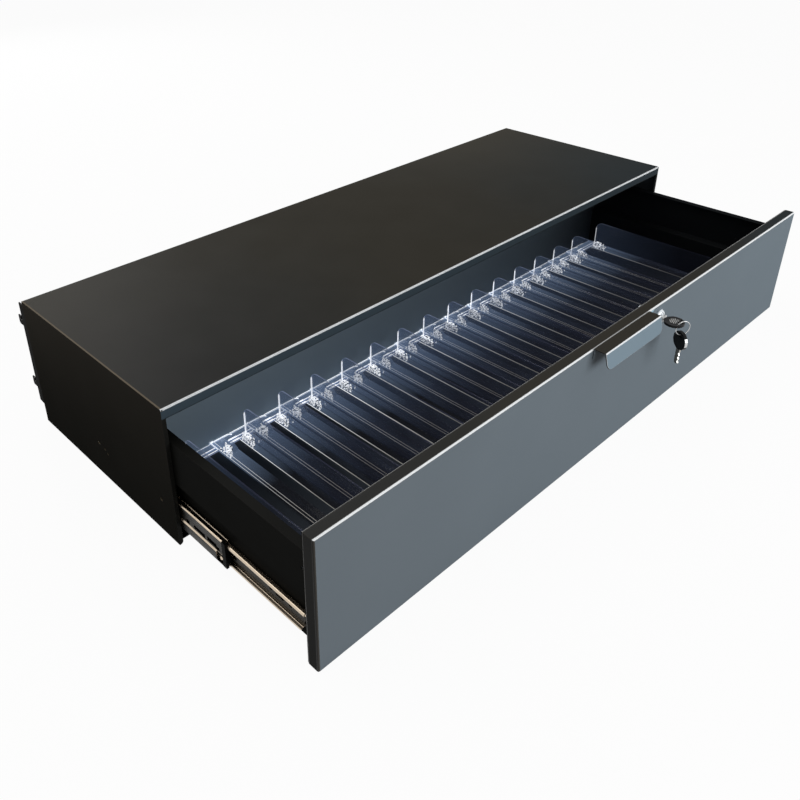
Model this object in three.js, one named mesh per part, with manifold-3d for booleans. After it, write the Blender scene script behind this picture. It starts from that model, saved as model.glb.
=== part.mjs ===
// Under-desk drawer unit with a lock: a folded steel housing, a full-width drawer on
// three-part ball-bearing slides, and a clear tray of lane dividers inside the drawer.
// Millimetres. X runs to the right seen from the front, Y to the rear, Z up.
// The origin is the centre of the housing's flat top. The drawer stands open.

import * as THREE from 'three';
import { mergeVertices } from 'three/addons/utils/BufferGeometryUtils.js';
import Module from 'manifold-3d';

const wasm = await Module();
wasm.setup();

// Housing
const HOUSING_WIDTH = 1000;
const HOUSING_DEPTH = 322;
const HOUSING_HEIGHT = 185;
const HOUSING_SHEET = 1.5;
const BACK_SHEET = 1.2;
const FRONT_LIP_HEIGHT = 13;
const SIDE_RETURN_WIDTH = 5;
const SIDE_RETURN_CORNER = 4;
const BASE_FLANGE_WIDTH = 18;
const BASE_FLANGE_SETBACK = 6;
const CORNER_RELIEF_DIAMETER = 2.2;

// Hook brackets on the back
const BRACKET_SHEET = 2;
const BRACKET_REACH = 14;
const BRACKET_FOOT_WIDTH = 22;
const BRACKET_SIDE_SETBACK = 1;
const BRACKET_TOP_SETBACK = 7;
const BRACKET_BOTTOM_HEIGHT = 27;
const BRACKET_CHAMFER = 2;
const HOOK_SLOT_PITCH = 95.5;
const HOOK_LOWER_HEIGHT = 48;
const HOOK_LUG_HEIGHT = 13;
const HOOK_LUG_REACH = 10;
const HOOK_NECK_HEIGHT = 7;
const HOOK_THROAT = 4;
const HOOK_CHAMFER = 2;

// Slides
const SLIDE_REAR_CLEARANCE = 12;
const SLIDE_HEIGHT = 45;
const SLIDE_THICKNESS = 12.7;
const SLIDE_STEEL = 1.2;
const SLIDE_LIP = 8.5;
const SLIDE_CENTRE_HEIGHT = 39.5;
const SLIDE_FRONT_SETBACK = 10;
const MIDDLE_SHORTER_BY = 20;
const MIDDLE_HEIGHT = 35.5;
const MIDDLE_WEB_OFFSET = 3.9;
const MIDDLE_LIP = 7.1;
const MIDDLE_FRONT_SETBACK = 25;
const RUNNER_HEIGHT = 28;
const RUNNER_LIP = 6.2;
const RUNNER_NOSE_CUT = 9;
const RUNNER_SLOT_LENGTH = 13;
const RUNNER_SLOT_WIDTH = 5;
const RUNNER_SLOT_FROM_FRONT = 24;
const RACE_WIDTH = 2.4;
const RACE_CLEARANCE = 0.3;
const BUMPER_LENGTH = 18;
const BUMPER_NOSE = 2.5;
const BUMPER_WINDOW = 7;

// Holes in the housing's sides, placed from the slide's front end and its centre line
const SLIDE_HOLES = [
  { alongSlide: 17, aboveCentre: 10.5, diameter: 5 },
  { alongSlide: 136.6, aboveCentre: 4.1, diameter: 3.5 },
  { alongSlide: 142.5, aboveCentre: 8.3, diameter: 4 },
  { alongSlide: 156, aboveCentre: 11.1, diameter: 6 },
];

// Drawer
const DRAWER_OPENING = 214;
const DRAWER_SHEET = 1.2;
const DRAWER_REAR_CLEARANCE = 1.5;
const DRAWER_FLOOR_HEIGHT = 16;
const DRAWER_TOP_HEIGHT = 141;
const DRAWER_SIDE_CLEARANCE = 1;
const STEP_CLEARANCE = 18;
const STEP_RISE = 4;
const DRAWER_FLANGE_WIDTH = 11;
const SIDE_EYE_DIAMETER = 4;
const SIDE_EYE_FROM_FRONT = 6;
const SIDE_EYE_HEIGHT = 118;

// Drawer front panel and handle
const PANEL_HEIGHT = 167.8;
const PANEL_THICKNESS = 15.3;
const PANEL_SHEET = 1.2;
const PANEL_SIDE_GAP = 2;
const PANEL_BASE_HEIGHT = 1;
const HANDLE_WIDTH = 125;
const HANDLE_OFFSET = -5;
const HANDLE_REACH = 16;
const HANDLE_DROP = 22;
const HANDLE_FLARE = 5.5;
const HANDLE_FLARE_GRID = 0.004;
const HANDLE_SHEET = 1.5;
const HANDLE_RISE = 0.8;
const HANDLE_FLANGE_DROP = 14;
const HANDLE_CORNER = 9;

// Lock
const LOCK_FROM_CENTRE = 85;
const LOCK_BELOW_PANEL_TOP = 18;
const LOCK_BEZEL_DIAMETER = 20;
const LOCK_BEZEL_HEIGHT = 4;
const LOCK_BARREL_DIAMETER = 16;
const LOCK_BARREL_LENGTH = 22;
const LOCK_PLUG_DIAMETER = 12;
const LOCK_NUT_ACROSS = 21;
const LOCK_NUT_THICKNESS = 3.5;
const LOCK_CLEARANCE = 0.3;
const CAM_STEM_DIAMETER = 8;
const CAM_THICKNESS = 2.2;
const CAM_REACH = 27;
const CAM_WIDTH = 14;
const CAM_SCREW_DIAMETER = 11;
const CAM_SCREW_HEIGHT = 1.6;

// Keys and ring
const KEY_HEAD_LENGTH = 25;
const KEY_HEAD_WIDTH = 25;
const KEY_HEAD_THICKNESS = 3.6;
const KEY_BLADE_LENGTH = 22;
const KEY_BLADE_WIDTH = 7;
const KEY_BLADE_THICKNESS = 2.2;
const KEY_SLOT_LENGTH = 5;
const KEY_SLOT_WIDTH = 9.5;
const KEY_SLOT_BRIDGE = 3;
const KEY_STANDOFF = 5;
const RING_DIAMETER = 18.6;
const RING_WIRE = 1.4;
const RING_YAW = 60;

// Clear tray in the drawer
const DIVIDER_PITCH = 56.5;
const DIVIDER_WALL = 2;
const DIVIDER_HEIGHT = 47.5;
const DIVIDER_FOOT_WIDTH = 19;
const DIVIDER_FOOT_THICKNESS = 1.5;
const DIVIDER_CORNER = 12;
const LEFT_DIVIDER_INSET = 71;
const RIGHT_DIVIDER_INSET = 28;
const FIRST_LANE_WIDTH = 88.5;
const TRACK_BEFORE_DIVIDER = 44;
const TRACK_WIDTH = 20;
const TRACK_THICKNESS = 1.4;
const TRACK_RIB_HEIGHT = 2;
const TRACK_RIB_WIDTH = 0.9;
const TRACK_RIB_SPACING = 4;
const RAIL_WIDTH = 18;
const RAIL_THICKNESS = 1.2;
const RAIL_RIB_HEIGHT = 1.4;
const RAIL_RIB_WIDTH = 1.2;
const RAIL_RIB_SPACING = 5.5;
const RAIL_END_GAP = 1;
const FRAME_SIDE_WIDTH = 1.7;
const TRAY_GAP = 0.4;
const CLIP_LENGTH = 24;
const CLIP_HEIGHT = 11;
const CLIP_WIDTH = 7.5;
const CLIP_WINDOW = 5;
const CATCH_LENGTH = 20;
const CATCH_WIDTH = 13;
const CATCH_HEIGHT = 6;

// Values worked out from the sizes above
const LEFT = -1;
const RIGHT = 1;
const HALF_WIDTH = HOUSING_WIDTH / 2;
const PANEL_REAR_Y = -DRAWER_OPENING;
const PANEL_FRONT_Y = PANEL_REAR_Y - PANEL_THICKNESS;
const PANEL_TOP_Z = PANEL_BASE_HEIGHT + PANEL_HEIGHT;
const DRAWER_DEPTH = HOUSING_DEPTH - BACK_SHEET - DRAWER_REAR_CLEARANCE;
const DRAWER_REAR_Y = PANEL_REAR_Y + DRAWER_DEPTH;
const SLIDE_LENGTH = HOUSING_DEPTH - SLIDE_FRONT_SETBACK - SLIDE_REAR_CLEARANCE;
const MIDDLE_LENGTH = SLIDE_LENGTH - MIDDLE_SHORTER_BY;
const UPPER_INSET = SIDE_RETURN_WIDTH + DRAWER_SIDE_CLEARANCE;
const LOWER_INSET = HOUSING_SHEET + SLIDE_THICKNESS;
const STEP_HEIGHT = SLIDE_CENTRE_HEIGHT + SLIDE_HEIGHT / 2 + STEP_CLEARANCE;
const FLOOR_TOP_Z = DRAWER_FLOOR_HEIGHT + DRAWER_SHEET;
const FLOOR_HALF_WIDTH = HALF_WIDTH - LOWER_INSET - DRAWER_SHEET;
const UPPER_HALF_WIDTH = HALF_WIDTH - UPPER_INSET - DRAWER_SHEET;
const DRAWER_BACK_FACE_Y = DRAWER_REAR_Y - DRAWER_SHEET;
const MIDDLE_FRONT_Y = MIDDLE_FRONT_SETBACK - DRAWER_OPENING / 2;
const RUNNER_FRONT_Y = SLIDE_FRONT_SETBACK - DRAWER_OPENING;
const LOCK_X = LOCK_FROM_CENTRE;
const LOCK_Z = PANEL_TOP_Z - LOCK_BELOW_PANEL_TOP;
const BEZEL_FRONT_Y = PANEL_FRONT_Y - LOCK_BEZEL_HEIGHT;
const BARREL_REAR_Y = PANEL_FRONT_Y + LOCK_BARREL_LENGTH;
const CAM_FRONT_Y = BARREL_REAR_Y + LOCK_CLEARANCE;
const LOCK_HOLE_DIAMETER = LOCK_BARREL_DIAMETER + 2 * LOCK_CLEARANCE;
const RING_RADIUS = RING_DIAMETER / 2;
const RING_INNER_RADIUS = RING_RADIUS - RING_WIRE / 2;
const RING_TURN = THREE.MathUtils.degToRad(RING_YAW);
const KEY_SLOT_END = KEY_SLOT_LENGTH / 2;
const KEY_SLOT_MIDDLE = KEY_SLOT_BRIDGE + KEY_SLOT_END;
const KEY_SLOT_REACH = KEY_SLOT_WIDTH / 2 - KEY_SLOT_END;
const KEY_HEAD_REAR_Y = BEZEL_FRONT_Y - KEY_STANDOFF;
const KEY_RIM_Y = KEY_HEAD_REAR_Y - KEY_HEAD_LENGTH;
const TRAY_REAR_Y = DRAWER_BACK_FACE_Y - RAIL_END_GAP;
const TRAY_FRONT_Y = PANEL_REAR_Y + RAIL_END_GAP;
const RAIL_TOP_Z = FLOOR_TOP_Z + RAIL_THICKNESS;
const DIVIDER_REAR_Y = TRAY_REAR_Y - RAIL_WIDTH - TRAY_GAP;
const DIVIDER_FRONT_Y = TRAY_FRONT_Y + RAIL_WIDTH + TRAY_GAP;
const FOOT_TOP_Z = FLOOR_TOP_Z + DIVIDER_FOOT_THICKNESS;
const TRACK_TOP_Z = RAIL_TOP_Z + TRACK_THICKNESS;
const LEFT_DIVIDER_X = LEFT_DIVIDER_INSET - HALF_WIDTH;
const RIGHT_DIVIDER_X = HALF_WIDTH - RIGHT_DIVIDER_INSET;
const FIRST_DIVIDER_X = LEFT_DIVIDER_X + FIRST_LANE_WIDTH;
const INNER_DIVIDERS = 1 + Math.floor((RIGHT_DIVIDER_X - FIRST_DIVIDER_X) / DIVIDER_PITCH - 1);
const TRACKS = INNER_DIVIDERS + 1;

// How finely round shapes are divided
const HOLE_SEGMENTS = 6;
const LOCK_SEGMENTS = 24;
const KEY_SEGMENTS = 10;
const RING_STEPS = 32;
const RING_SIDES = 8;
const GRID = 0.001;

// How far a cut runs past the face it opens
const CUT_MARGIN = 1;

// Shape helpers

function point(x, y) {
  return new THREE.Vector2(x, y);
}

// A straight prism of an outline drawn in the XY, XZ or YZ plane, between two places
// on the third axis.
function prism(outline, plane, from, to) {
  const settings = { depth: to - from, bevelEnabled: false, curveSegments: HOLE_SEGMENTS };
  const geometry = new THREE.ExtrudeGeometry(outline, settings);
  const x = new THREE.Vector3(1, 0, 0);
  const y = new THREE.Vector3(0, 1, 0);
  const z = new THREE.Vector3(0, 0, 1);
  const placing = new THREE.Matrix4();
  if (plane === 'XY') {
    placing.setPosition(0, 0, from);
  } else if (plane === 'YZ') {
    placing.makeBasis(y, z, x).setPosition(from, 0, 0);
  } else {
    placing.makeBasis(x, z, y.clone().negate()).setPosition(0, to, 0);
  }
  return geometry.applyMatrix4(placing);
}

function box(x0, x1, y0, y1, z0, z1) {
  const geometry = new THREE.BoxGeometry(Math.abs(x1 - x0), y1 - y0, z1 - z0);
  return geometry.translate((x0 + x1) / 2, (y0 + y1) / 2, (z0 + z1) / 2);
}

function rodAlongY(x, z, diameter, y0, y1, segments) {
  const geometry = new THREE.CylinderGeometry(diameter / 2, diameter / 2, y1 - y0, segments);
  return geometry.translate(x, (y0 + y1) / 2, z);
}

// A closed outline of a folded sheet: the path is one face of the sheet, and the
// other face lies one thickness to the left of it.
function foldedSheet(path, thickness) {
  const offset = path.map((corner, i) => {
    const before = path[Math.max(i - 1, 0)];
    const after = path[Math.min(i + 1, path.length - 1)];
    const into = (i > 0 ? corner.clone().sub(before) : after.clone().sub(corner)).normalize();
    const out = (i < path.length - 1 ? after.clone().sub(corner) : into.clone()).normalize();
    const mitre = point(-into.y - out.y, into.x + out.x).normalize();
    const along = mitre.dot(point(-into.y, into.x));
    return corner.clone().addScaledVector(mitre, thickness / along);
  });
  return new THREE.Shape([...path, ...offset.reverse()]);
}

function circle(x, y, diameter) {
  return new THREE.Path().absarc(x, y, diameter / 2, 0, 2 * Math.PI);
}

// A solid whose corners lie on a fine grid, so that faces meant to be level are level.
function solid(geometry) {
  const bare = geometry.clone();
  bare.deleteAttribute('normal');
  bare.deleteAttribute('uv');
  const places = bare.attributes.position.array;
  for (let i = 0; i < places.length; i += 1) {
    places[i] = Math.round(places[i] / GRID) * GRID;
  }
  const merged = mergeVertices(bare, GRID / 2);
  const mesh = new wasm.Mesh({
    numProp: 3,
    vertProperties: new Float32Array(merged.attributes.position.array),
    triVerts: new Uint32Array(merged.index.array),
  });
  return new wasm.Manifold(mesh);
}

function joined(...geometries) {
  return geometries.map(solid).reduce((whole, piece) => whole.add(piece));
}

function surface(manifold) {
  const mesh = manifold.getMesh();
  const geometry = new THREE.BufferGeometry();
  const places = new Float32Array(mesh.vertProperties);
  geometry.setAttribute('position', new THREE.BufferAttribute(places, 3));
  geometry.setIndex(new THREE.BufferAttribute(new Uint32Array(mesh.triVerts), 1));
  geometry.computeVertexNormals();
  return geometry;
}

// Finishes

function finish(color, roughness, metalness) {
  return () => new THREE.MeshStandardMaterial({ color, roughness, metalness });
}

function clearPlastic() {
  const look = { color: 0xc9d6e2, roughness: 0.12, metalness: 0, transparent: true, opacity: 0.4 };
  return new THREE.MeshStandardMaterial(look);
}

const darkPaint = finish(0x34322f, 0.62, 0.1);
const slatePaint = finish(0x6a737b, 0.55, 0.1);
const handlePaint = finish(0x7f8e99, 0.5, 0.15);
const zincSteel = finish(0x8f8a80, 0.38, 0.9);
const chrome = finish(0xe2e4e6, 0.12, 1);
const keySteel = finish(0xb9bcc0, 0.3, 1);
const blackPlastic = finish(0x141416, 0.45, 0);

function part(name, shape, material) {
  const geometry = shape instanceof THREE.BufferGeometry ? surface(solid(shape)) : surface(shape);
  const mesh = new THREE.Mesh(geometry, material());
  mesh.name = name;
  return mesh;
}

function sideName(side) {
  return side === LEFT ? 'left' : 'right';
}

// A point of a section at one side, given by its distance in from the housing's
// outer side face and its height.
function sectionPoint(side, inset, z) {
  return point(side * (HALF_WIDTH - inset), z);
}

// A prism along X of an outline in the YZ plane, between two insets from the housing's
// outer side face.
function acrossSide(side, outline, insetA, insetB) {
  const faces = [side * (HALF_WIDTH - insetA), side * (HALF_WIDTH - insetB)];
  return prism(outline, 'YZ', Math.min(...faces), Math.max(...faces));
}

// A box at one side, between two insets from the housing's outer side face.
function boxAtSide(side, insetA, insetB, y0, y1, z0, z1) {
  const faces = [side * (HALF_WIDTH - insetA), side * (HALF_WIDTH - insetB)];
  return box(Math.min(...faces), Math.max(...faces), y0, y1, z0, z1);
}

// Housing

function housingShell() {
  const inner = HALF_WIDTH - HOUSING_SHEET;
  const throat = HALF_WIDTH - BASE_FLANGE_WIDTH;
  const top = HOUSING_HEIGHT - HOUSING_SHEET;
  const section = new THREE.Shape([
    point(-HALF_WIDTH, 0),
    point(-throat, 0),
    point(-throat, HOUSING_SHEET),
    point(-inner, HOUSING_SHEET),
    point(-inner, top),
    point(inner, top),
    point(inner, HOUSING_SHEET),
    point(throat, HOUSING_SHEET),
    point(throat, 0),
    point(HALF_WIDTH, 0),
    point(HALF_WIDTH, HOUSING_HEIGHT),
    point(-HALF_WIDTH, HOUSING_HEIGHT),
  ]);
  let shell = solid(prism(section, 'XZ', 0, HOUSING_DEPTH));
  const flangeNotch = box(-inner, inner, -CUT_MARGIN, BASE_FLANGE_SETBACK, -CUT_MARGIN, HOUSING_SHEET);
  shell = shell.subtract(solid(flangeNotch));
  shell = shell.add(solid(prism(frontRim(), 'XZ', 0, HOUSING_SHEET)));
  const reliefZ = HOUSING_HEIGHT - HOUSING_SHEET;
  const reliefEnd = HOUSING_SHEET + CUT_MARGIN;
  for (const side of [LEFT, RIGHT]) {
    const reliefX = side * (HALF_WIDTH - HOUSING_SHEET);
    const relief = rodAlongY(
      reliefX, reliefZ, CORNER_RELIEF_DIAMETER, -CUT_MARGIN, reliefEnd, 2 * HOLE_SEGMENTS,
    );
    shell = shell.subtract(solid(relief));
    for (const hole of SLIDE_HOLES) {
      const y = SLIDE_FRONT_SETBACK + hole.alongSlide;
      const z = SLIDE_CENTRE_HEIGHT + hole.aboveCentre;
      const outline = new THREE.Shape();
      outline.absarc(y, z, hole.diameter / 2, 0, 2 * Math.PI);
      const cut = acrossSide(side, outline, -CUT_MARGIN, HOUSING_SHEET + CUT_MARGIN);
      shell = shell.subtract(solid(cut));
    }
  }
  return part('housing_shell', shell, darkPaint);
}

// The front rim: a lip across the top and a narrow return down each side with a
// rounded lower corner.
function frontRim() {
  const throat = HALF_WIDTH - SIDE_RETURN_WIDTH;
  const lipZ = HOUSING_HEIGHT - FRONT_LIP_HEIGHT;
  const rim = new THREE.Shape();
  rim.moveTo(-HALF_WIDTH, 0);
  rim.lineTo(-throat - SIDE_RETURN_CORNER, 0);
  rim.absarc(-throat - SIDE_RETURN_CORNER, SIDE_RETURN_CORNER, SIDE_RETURN_CORNER, -Math.PI / 2, 0, false);
  rim.lineTo(-throat, lipZ);
  rim.lineTo(throat, lipZ);
  rim.lineTo(throat, SIDE_RETURN_CORNER);
  rim.absarc(
    throat + SIDE_RETURN_CORNER, SIDE_RETURN_CORNER, SIDE_RETURN_CORNER,
    Math.PI, 1.5 * Math.PI, false,
  );
  rim.lineTo(HALF_WIDTH, 0);
  rim.lineTo(HALF_WIDTH, HOUSING_HEIGHT);
  rim.lineTo(-HALF_WIDTH, HOUSING_HEIGHT);
  return rim;
}

function housingBack() {
  const inner = HALF_WIDTH - HOUSING_SHEET;
  const top = HOUSING_HEIGHT - HOUSING_SHEET;
  const front = HOUSING_DEPTH - BACK_SHEET;
  return part('housing_back', box(-inner, inner, front, HOUSING_DEPTH, HOUSING_SHEET, top), darkPaint);
}

// An angle plate on the back with two upward hooks for a slotted upright.
function hookBracket(side) {
  const back = HOUSING_DEPTH;
  const edge = back + BRACKET_REACH;
  const tip = edge + HOOK_LUG_REACH;
  const topZ = HOUSING_HEIGHT - BRACKET_TOP_SETBACK;
  const outline = [
    point(back, BRACKET_BOTTOM_HEIGHT - BRACKET_CHAMFER),
    point(edge, BRACKET_BOTTOM_HEIGHT),
  ];
  for (const base of [HOOK_LOWER_HEIGHT, HOOK_LOWER_HEIGHT + HOOK_SLOT_PITCH]) {
    outline.push(point(edge, base));
    outline.push(point(tip - HOOK_CHAMFER, base));
    outline.push(point(tip, base + HOOK_CHAMFER));
    outline.push(point(tip, base + HOOK_LUG_HEIGHT));
    outline.push(point(edge + HOOK_THROAT, base + HOOK_LUG_HEIGHT));
    outline.push(point(edge + HOOK_THROAT, base + HOOK_NECK_HEIGHT));
    outline.push(point(edge, base + HOOK_NECK_HEIGHT));
  }
  outline.push(point(edge, topZ));
  outline.push(point(back, topZ));
  const outer = BRACKET_SIDE_SETBACK;
  const web = acrossSide(side, new THREE.Shape(outline), outer, outer + BRACKET_SHEET);
  const footPlate = boxAtSide(
    side, outer, outer + BRACKET_FOOT_WIDTH,
    back, back + BRACKET_SHEET, BRACKET_BOTTOM_HEIGHT, topZ,
  );
  return part(`hook_bracket_${sideName(side)}`, joined(web, footPlate), darkPaint);
}

// Slides

// Section of a C-shaped slide member with one rolled ball race on each flange.
// web and lip are insets of its web face and of its flange ends, height is its full
// height, raceRise is how far each race stands out from its flange.
function slideSection(side, web, lip, height, raceRise) {
  const direction = Math.sign(lip - web);
  const half = height / 2;
  const raceInset = (web + lip) / 2 + direction * SLIDE_STEEL;
  const rise = half + raceRise;
  const outer = [
    [lip, half],
    [raceInset + direction * RACE_WIDTH / 2, half],
    [raceInset + direction * RACE_WIDTH / 4, rise],
    [raceInset - direction * RACE_WIDTH / 4, rise],
    [raceInset - direction * RACE_WIDTH / 2, half],
    [web, half],
  ];
  const innerWeb = web + direction * SLIDE_STEEL;
  const lower = outer.map(([inset, z]) => [inset, -z]).reverse();
  const inner = [[lip, -half + SLIDE_STEEL], [innerWeb, -half + SLIDE_STEEL]];
  const innerTop = [[innerWeb, half - SLIDE_STEEL], [lip, half - SLIDE_STEEL]];
  const outline = [...outer, ...lower, ...inner, ...innerTop];
  return new THREE.Shape(
    outline.map(([inset, z]) => sectionPoint(side, inset, SLIDE_CENTRE_HEIGHT + z)),
  );
}

function cabinetMember(side) {
  const web = HOUSING_SHEET;
  const section = slideSection(side, web, web + SLIDE_LIP, SLIDE_HEIGHT, 0);
  const rear = SLIDE_FRONT_SETBACK + SLIDE_LENGTH;
  const name = `slide_cabinet_member_${sideName(side)}`;
  return part(name, prism(section, 'XZ', SLIDE_FRONT_SETBACK, rear), zincSteel);
}

function middleMember(side) {
  const web = HOUSING_SHEET + MIDDLE_WEB_OFFSET;
  const raceRise = (SLIDE_HEIGHT - MIDDLE_HEIGHT) / 2 - SLIDE_STEEL - RACE_CLEARANCE;
  const section = slideSection(side, web, web + MIDDLE_LIP, MIDDLE_HEIGHT, raceRise);
  const rear = MIDDLE_FRONT_Y + MIDDLE_LENGTH;
  const body = solid(prism(section, 'XZ', MIDDLE_FRONT_Y, rear));
  const windowHalf = BUMPER_WINDOW / 2;
  const windowY = MIDDLE_FRONT_Y + BUMPER_LENGTH / 2;
  const window = boxAtSide(
    side, web - CUT_MARGIN, web + SLIDE_STEEL + CUT_MARGIN,
    windowY - windowHalf, windowY + windowHalf,
    SLIDE_CENTRE_HEIGHT - windowHalf, SLIDE_CENTRE_HEIGHT + windowHalf,
  );
  return part(`slide_middle_member_${sideName(side)}`, body.subtract(solid(window)), zincSteel);
}

// The black stop in the front end of the middle member: a block behind its web and a
// nose that caps the web's end.
function slideBumper(side) {
  const webFace = HOUSING_SHEET + MIDDLE_WEB_OFFSET;
  const behindWeb = webFace + SLIDE_STEEL;
  const runnerFace = HOUSING_SHEET + SLIDE_THICKNESS - SLIDE_STEEL;
  const halfInside = RUNNER_HEIGHT / 2 - SLIDE_STEEL - RACE_CLEARANCE;
  const halfNose = MIDDLE_HEIGHT / 2 - SLIDE_STEEL - RACE_CLEARANCE;
  const block = boxAtSide(
    side, behindWeb, runnerFace - RACE_CLEARANCE,
    MIDDLE_FRONT_Y - BUMPER_NOSE, MIDDLE_FRONT_Y + BUMPER_LENGTH,
    SLIDE_CENTRE_HEIGHT - halfInside, SLIDE_CENTRE_HEIGHT + halfInside,
  );
  const noseInset = HOUSING_SHEET + SLIDE_THICKNESS - RUNNER_LIP - RACE_CLEARANCE;
  const nose = boxAtSide(
    side, webFace, noseInset, MIDDLE_FRONT_Y - BUMPER_NOSE, MIDDLE_FRONT_Y,
    SLIDE_CENTRE_HEIGHT - halfNose, SLIDE_CENTRE_HEIGHT + halfNose,
  );
  return part(`slide_bumper_${sideName(side)}`, joined(block, nose), blackPlastic);
}

function drawerMember(side) {
  const web = HOUSING_SHEET + SLIDE_THICKNESS;
  const raceRise = (MIDDLE_HEIGHT - RUNNER_HEIGHT) / 2 - SLIDE_STEEL - RACE_CLEARANCE;
  const section = slideSection(side, web, web - RUNNER_LIP, RUNNER_HEIGHT, raceRise);
  const rear = RUNNER_FRONT_Y + SLIDE_LENGTH;
  let body = solid(prism(section, 'XZ', RUNNER_FRONT_Y, rear));
  const across = [web + CUT_MARGIN, web - RUNNER_LIP - CUT_MARGIN];
  const bottomZ = SLIDE_CENTRE_HEIGHT - RUNNER_HEIGHT / 2 - raceRise;
  const nose = new THREE.Shape([
    point(RUNNER_FRONT_Y - CUT_MARGIN, bottomZ - CUT_MARGIN),
    point(RUNNER_FRONT_Y + RUNNER_NOSE_CUT, bottomZ - CUT_MARGIN),
    point(RUNNER_FRONT_Y - CUT_MARGIN, bottomZ + RUNNER_NOSE_CUT),
  ]);
  body = body.subtract(solid(acrossSide(side, nose, ...across)));
  const slotY = RUNNER_FRONT_Y + RUNNER_SLOT_FROM_FRONT;
  const slotZ = SLIDE_CENTRE_HEIGHT + RUNNER_HEIGHT / 4;
  const slot = slotOutline(slotY + RUNNER_SLOT_LENGTH / 2, slotZ, RUNNER_SLOT_LENGTH, RUNNER_SLOT_WIDTH);
  body = body.subtract(solid(acrossSide(side, slot, ...across)));
  return part(`slide_drawer_member_${sideName(side)}`, body, zincSteel);
}

// A slot with round ends, lying along the first axis of its plane.
function slotOutline(u, v, length, width) {
  const reach = (length - width) / 2;
  const outline = new THREE.Shape();
  outline.absarc(u + reach, v, width / 2, -Math.PI / 2, Math.PI / 2, false);
  outline.absarc(u - reach, v, width / 2, Math.PI / 2, 1.5 * Math.PI, false);
  return outline;
}

// Drawer box

function drawerSide(side) {
  const path = [
    [UPPER_INSET + DRAWER_FLANGE_WIDTH, DRAWER_TOP_HEIGHT],
    [UPPER_INSET, DRAWER_TOP_HEIGHT],
    [UPPER_INSET, STEP_HEIGHT + STEP_RISE],
    [LOWER_INSET, STEP_HEIGHT],
    [LOWER_INSET, DRAWER_FLOOR_HEIGHT],
  ].map(([inset, z]) => point(inset, z));
  const section = foldedSheet(path, DRAWER_SHEET).getPoints();
  const outline = new THREE.Shape(section.map((corner) => sectionPoint(side, corner.x, corner.y)));
  const body = solid(prism(outline, 'XZ', PANEL_REAR_Y, DRAWER_REAR_Y));
  const eye = new THREE.Shape();
  eye.absarc(PANEL_REAR_Y + SIDE_EYE_FROM_FRONT, SIDE_EYE_HEIGHT, SIDE_EYE_DIAMETER / 2, 0, 2 * Math.PI);
  const through = acrossSide(side, eye, UPPER_INSET - CUT_MARGIN, UPPER_INSET + DRAWER_SHEET + CUT_MARGIN);
  return part(`drawer_side_${sideName(side)}`, body.subtract(solid(through)), darkPaint);
}

function drawerFloor() {
  const plate = box(
    -FLOOR_HALF_WIDTH, FLOOR_HALF_WIDTH, PANEL_REAR_Y, DRAWER_REAR_Y,
    DRAWER_FLOOR_HEIGHT, FLOOR_TOP_Z,
  );
  return part('drawer_floor', plate, darkPaint);
}

// The rear wall follows the step of the sides and has a flange along its top.
function drawerRearWall() {
  const top = DRAWER_TOP_HEIGHT - DRAWER_SHEET;
  const stepZ = STEP_HEIGHT + STEP_RISE;
  const outline = new THREE.Shape([
    point(-FLOOR_HALF_WIDTH, FLOOR_TOP_Z),
    point(FLOOR_HALF_WIDTH, FLOOR_TOP_Z),
    point(FLOOR_HALF_WIDTH, STEP_HEIGHT),
    point(FLOOR_HALF_WIDTH, stepZ + DRAWER_SHEET),
    point(UPPER_HALF_WIDTH, stepZ + DRAWER_SHEET),
    point(UPPER_HALF_WIDTH, top),
    point(-UPPER_HALF_WIDTH, top),
    point(-UPPER_HALF_WIDTH, stepZ + DRAWER_SHEET),
    point(-FLOOR_HALF_WIDTH, stepZ + DRAWER_SHEET),
    point(-FLOOR_HALF_WIDTH, STEP_HEIGHT),
  ]);
  const wall = prism(outline, 'XZ', DRAWER_BACK_FACE_Y, DRAWER_REAR_Y);
  const flange = box(
    -UPPER_HALF_WIDTH, UPPER_HALF_WIDTH, DRAWER_REAR_Y - DRAWER_FLANGE_WIDTH, DRAWER_REAR_Y,
    top - DRAWER_SHEET, top,
  );
  return part('drawer_rear_wall', joined(wall, flange), darkPaint);
}

// The outer pan of the drawer front: a face with a return on all four edges.
function panelSkin() {
  const half = HALF_WIDTH - PANEL_SIDE_GAP;
  const outer = box(-half, half, PANEL_FRONT_Y, PANEL_REAR_Y, PANEL_BASE_HEIGHT, PANEL_TOP_Z);
  const hollow = box(
    -half + PANEL_SHEET, half - PANEL_SHEET, PANEL_FRONT_Y + PANEL_SHEET, PANEL_REAR_Y + CUT_MARGIN,
    PANEL_BASE_HEIGHT + PANEL_SHEET, PANEL_TOP_Z - PANEL_SHEET,
  );
  const hole = rodAlongY(
    LOCK_X, LOCK_Z, LOCK_HOLE_DIAMETER, PANEL_FRONT_Y - CUT_MARGIN, PANEL_REAR_Y, LOCK_SEGMENTS,
  );
  return part('panel_skin', solid(outer).subtract(solid(hollow)).subtract(solid(hole)), slatePaint);
}

// The inner plate that closes the pan and carries the drawer box.
function panelLiner() {
  const half = HALF_WIDTH - PANEL_SIDE_GAP - PANEL_SHEET;
  const plate = new THREE.Shape([
    point(-half, PANEL_BASE_HEIGHT + PANEL_SHEET),
    point(half, PANEL_BASE_HEIGHT + PANEL_SHEET),
    point(half, PANEL_TOP_Z - PANEL_SHEET),
    point(-half, PANEL_TOP_Z - PANEL_SHEET),
  ]);
  const body = solid(prism(plate, 'XZ', PANEL_REAR_Y - PANEL_SHEET, PANEL_REAR_Y));
  const hole = rodAlongY(
    LOCK_X, LOCK_Z, LOCK_HOLE_DIAMETER, PANEL_FRONT_Y, PANEL_REAR_Y + CUT_MARGIN, LOCK_SEGMENTS,
  );
  return part('panel_liner', body.subtract(solid(hole)), darkPaint);
}

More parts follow.
